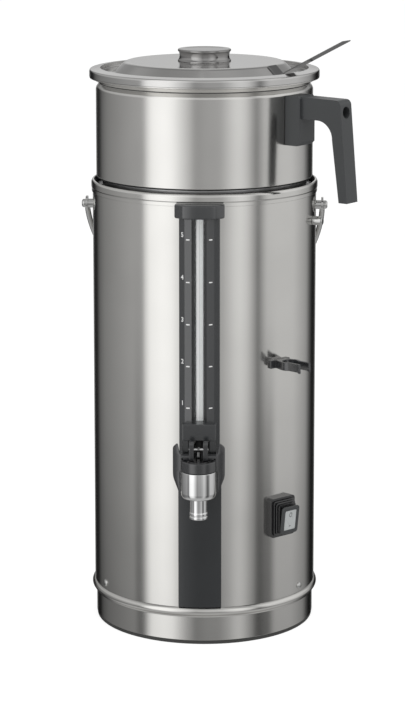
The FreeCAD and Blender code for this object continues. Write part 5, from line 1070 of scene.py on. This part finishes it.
# %% Panels round the compass
BEARINGS = [(-180, 0.55), (-170, 0.45), (-161, 0.02), (-147, 0.02), (-138, 0.16), (-125, 0.27), (-80, 0.46),
            (-66.5, 0.46), (-63.5, 0.90), (-58, 1.32), (-44, 1.43), (-34, 1.36), (-27, 1.08), (-16, 0.70),
            (-9.5, 0.40), (2, 0.49), (16, 0.50), (23, 0.68), (30, 0.88), (37, 0.97), (44, 0.84), (51, 0.52),
            (56.5, 0.20), (61, 0.48), (67, 0.74), (104, 0.72), (130, 0.42), (139, 0.12), (147, 0.01),
            (161, 0.02), (170, 0.45), (180, 0.55)]
RAMP_TOP = 2.0
print("brightest panel", max(level for bearing, level in BEARINGS))


def compass_band(room, east, north):
    """How far round the compass a direction lies, from 0 to 1, and the panel's level there."""
    share = east.maths("ARCTAN2", north * -1.0) * (1 / (2 * math.pi)) + (0.5 - CAMERA_AZIMUTH / 360)
    stops = [(bearing / 360 + 0.5, level / RAMP_TOP) for bearing, level in BEARINGS]
    ramp = room.node("ShaderNodeValToRGB", {"stops": stops}, share)
    return share, Value(room, ramp.outputs["Color"]) * RAMP_TOP


# %% [markdown]
# ## High and low in the room
# The panels aren't equally bright from top to bottom. Low down the room darkens, except for the brightest
# panel, and the dark gap on the right widens. Above the urn hangs a soft ceiling, which the lid and the rim
# mirror.

# %% Change the level with height
def bearing_mask(share, start, full, fading, stop):
    """1 between two bearings, counted from the camera in degrees, and 0 outside them."""
    return (share.between(0.5 + start / 360, 0.5 + full / 360)
            * (1 - share.between(0.5 + fading / 360, 0.5 + stop / 360)))


def changed(level, mask, other):
    """The level where a mask is 0 and the other one where it is 1."""
    return level * (1 - mask) + mask * other


def level_by_height(share, band, upwards):
    down = upwards * -1.0
    low = down.between(0.20, 0.35)
    highlight = (band - 0.8).maths("MAXIMUM", 0.0)
    level = band * (1 - low * 0.48) + highlight * low * 0.58
    sunk = down.between(0.20, 0.27)
    gap = bearing_mask(share, 54, 61, 70, 82)
    right_panel = bearing_mask(share, 18, 26, 48, 54) * (1 - down.between(0.288, 0.300))
    left_edge = bearing_mask(share, -80, -73, -70, -66)
    level = level * (1 - sunk * (gap * 0.68 + right_panel * 0.20 + left_edge * 0.42))
    level = changed(level, upwards.between(0.06, 0.20), band * 0.75 + 0.34)
    level = changed(level, upwards.between(0.55, 0.9), band * 0.35 + 0.25)
    return changed(level, down.between(0.45, 0.75), 0.5)


# %% [markdown]
# ## The world
# The eye and the gauge's glass see plain white instead of the panels, which is the photograph's background.
# Steel keeps the panels, because a white surround would wash out its bands.

# %% World
def make_room():
    world = bpy.data.worlds.new("room")
    bpy.context.scene.world = world
    world.use_nodes = True
    world.node_tree.nodes.clear()
    room = Nodes(world.node_tree)
    place = room.node("ShaderNodeTexCoord").outputs["Generated"]
    apart = room.node("ShaderNodeSeparateXYZ", Vector=place)
    east, north, upwards = [Value(room, apart.outputs[axis]) for axis in "XYZ"]
    share, band = compass_band(room, east, north)
    level = level_by_height(share, band, upwards)
    panels = room.node("ShaderNodeBackground", Color=(1, 1, 1, 1), Strength=level)
    white = room.node("ShaderNodeBackground", Color=(1, 1, 1, 1))
    path = room.node("ShaderNodeLightPath")
    by_eye = Value(room, path.outputs["Is Camera Ray"])
    through_glass = Value(room, path.outputs["Is Transmission Ray"])
    both = room.node("ShaderNodeMixShader", None, by_eye.maths("MAXIMUM", through_glass), panels.outputs[0],
                     white.outputs[0])
    room.node("ShaderNodeOutputWorld", Surface=both.outputs[0])
    print("room nodes", len(world.node_tree.nodes))


make_room()

# %% [markdown]
# ## Lamp
# One large soft lamp above the front gives the dark plastics their shape. The steel doesn't mirror it,
# because the panels of the room do that work.

# %% Lamp
def soft_lamp(name, place, size, power, target):
    data = bpy.data.lights.new(name, "AREA")
    data.shape = "RECTANGLE"
    data.size, data.size_y = size
    data.energy = power
    lamp = bpy.data.objects.new(name, data)
    lamp.location = place
    lamp.rotation_euler = (Vector(target) - Vector(place)).to_track_quat("-Z", "Y").to_euler()
    lamp.visible_glossy = False
    bpy.context.scene.collection.objects.link(lamp)
    return lamp


lamp = soft_lamp("lamp_top", (0.2, -0.6, 2.4), (1.6, 1.6), 20, target=(0, 0, 0.27))
print(lamp.name, lamp.data.energy, "W")
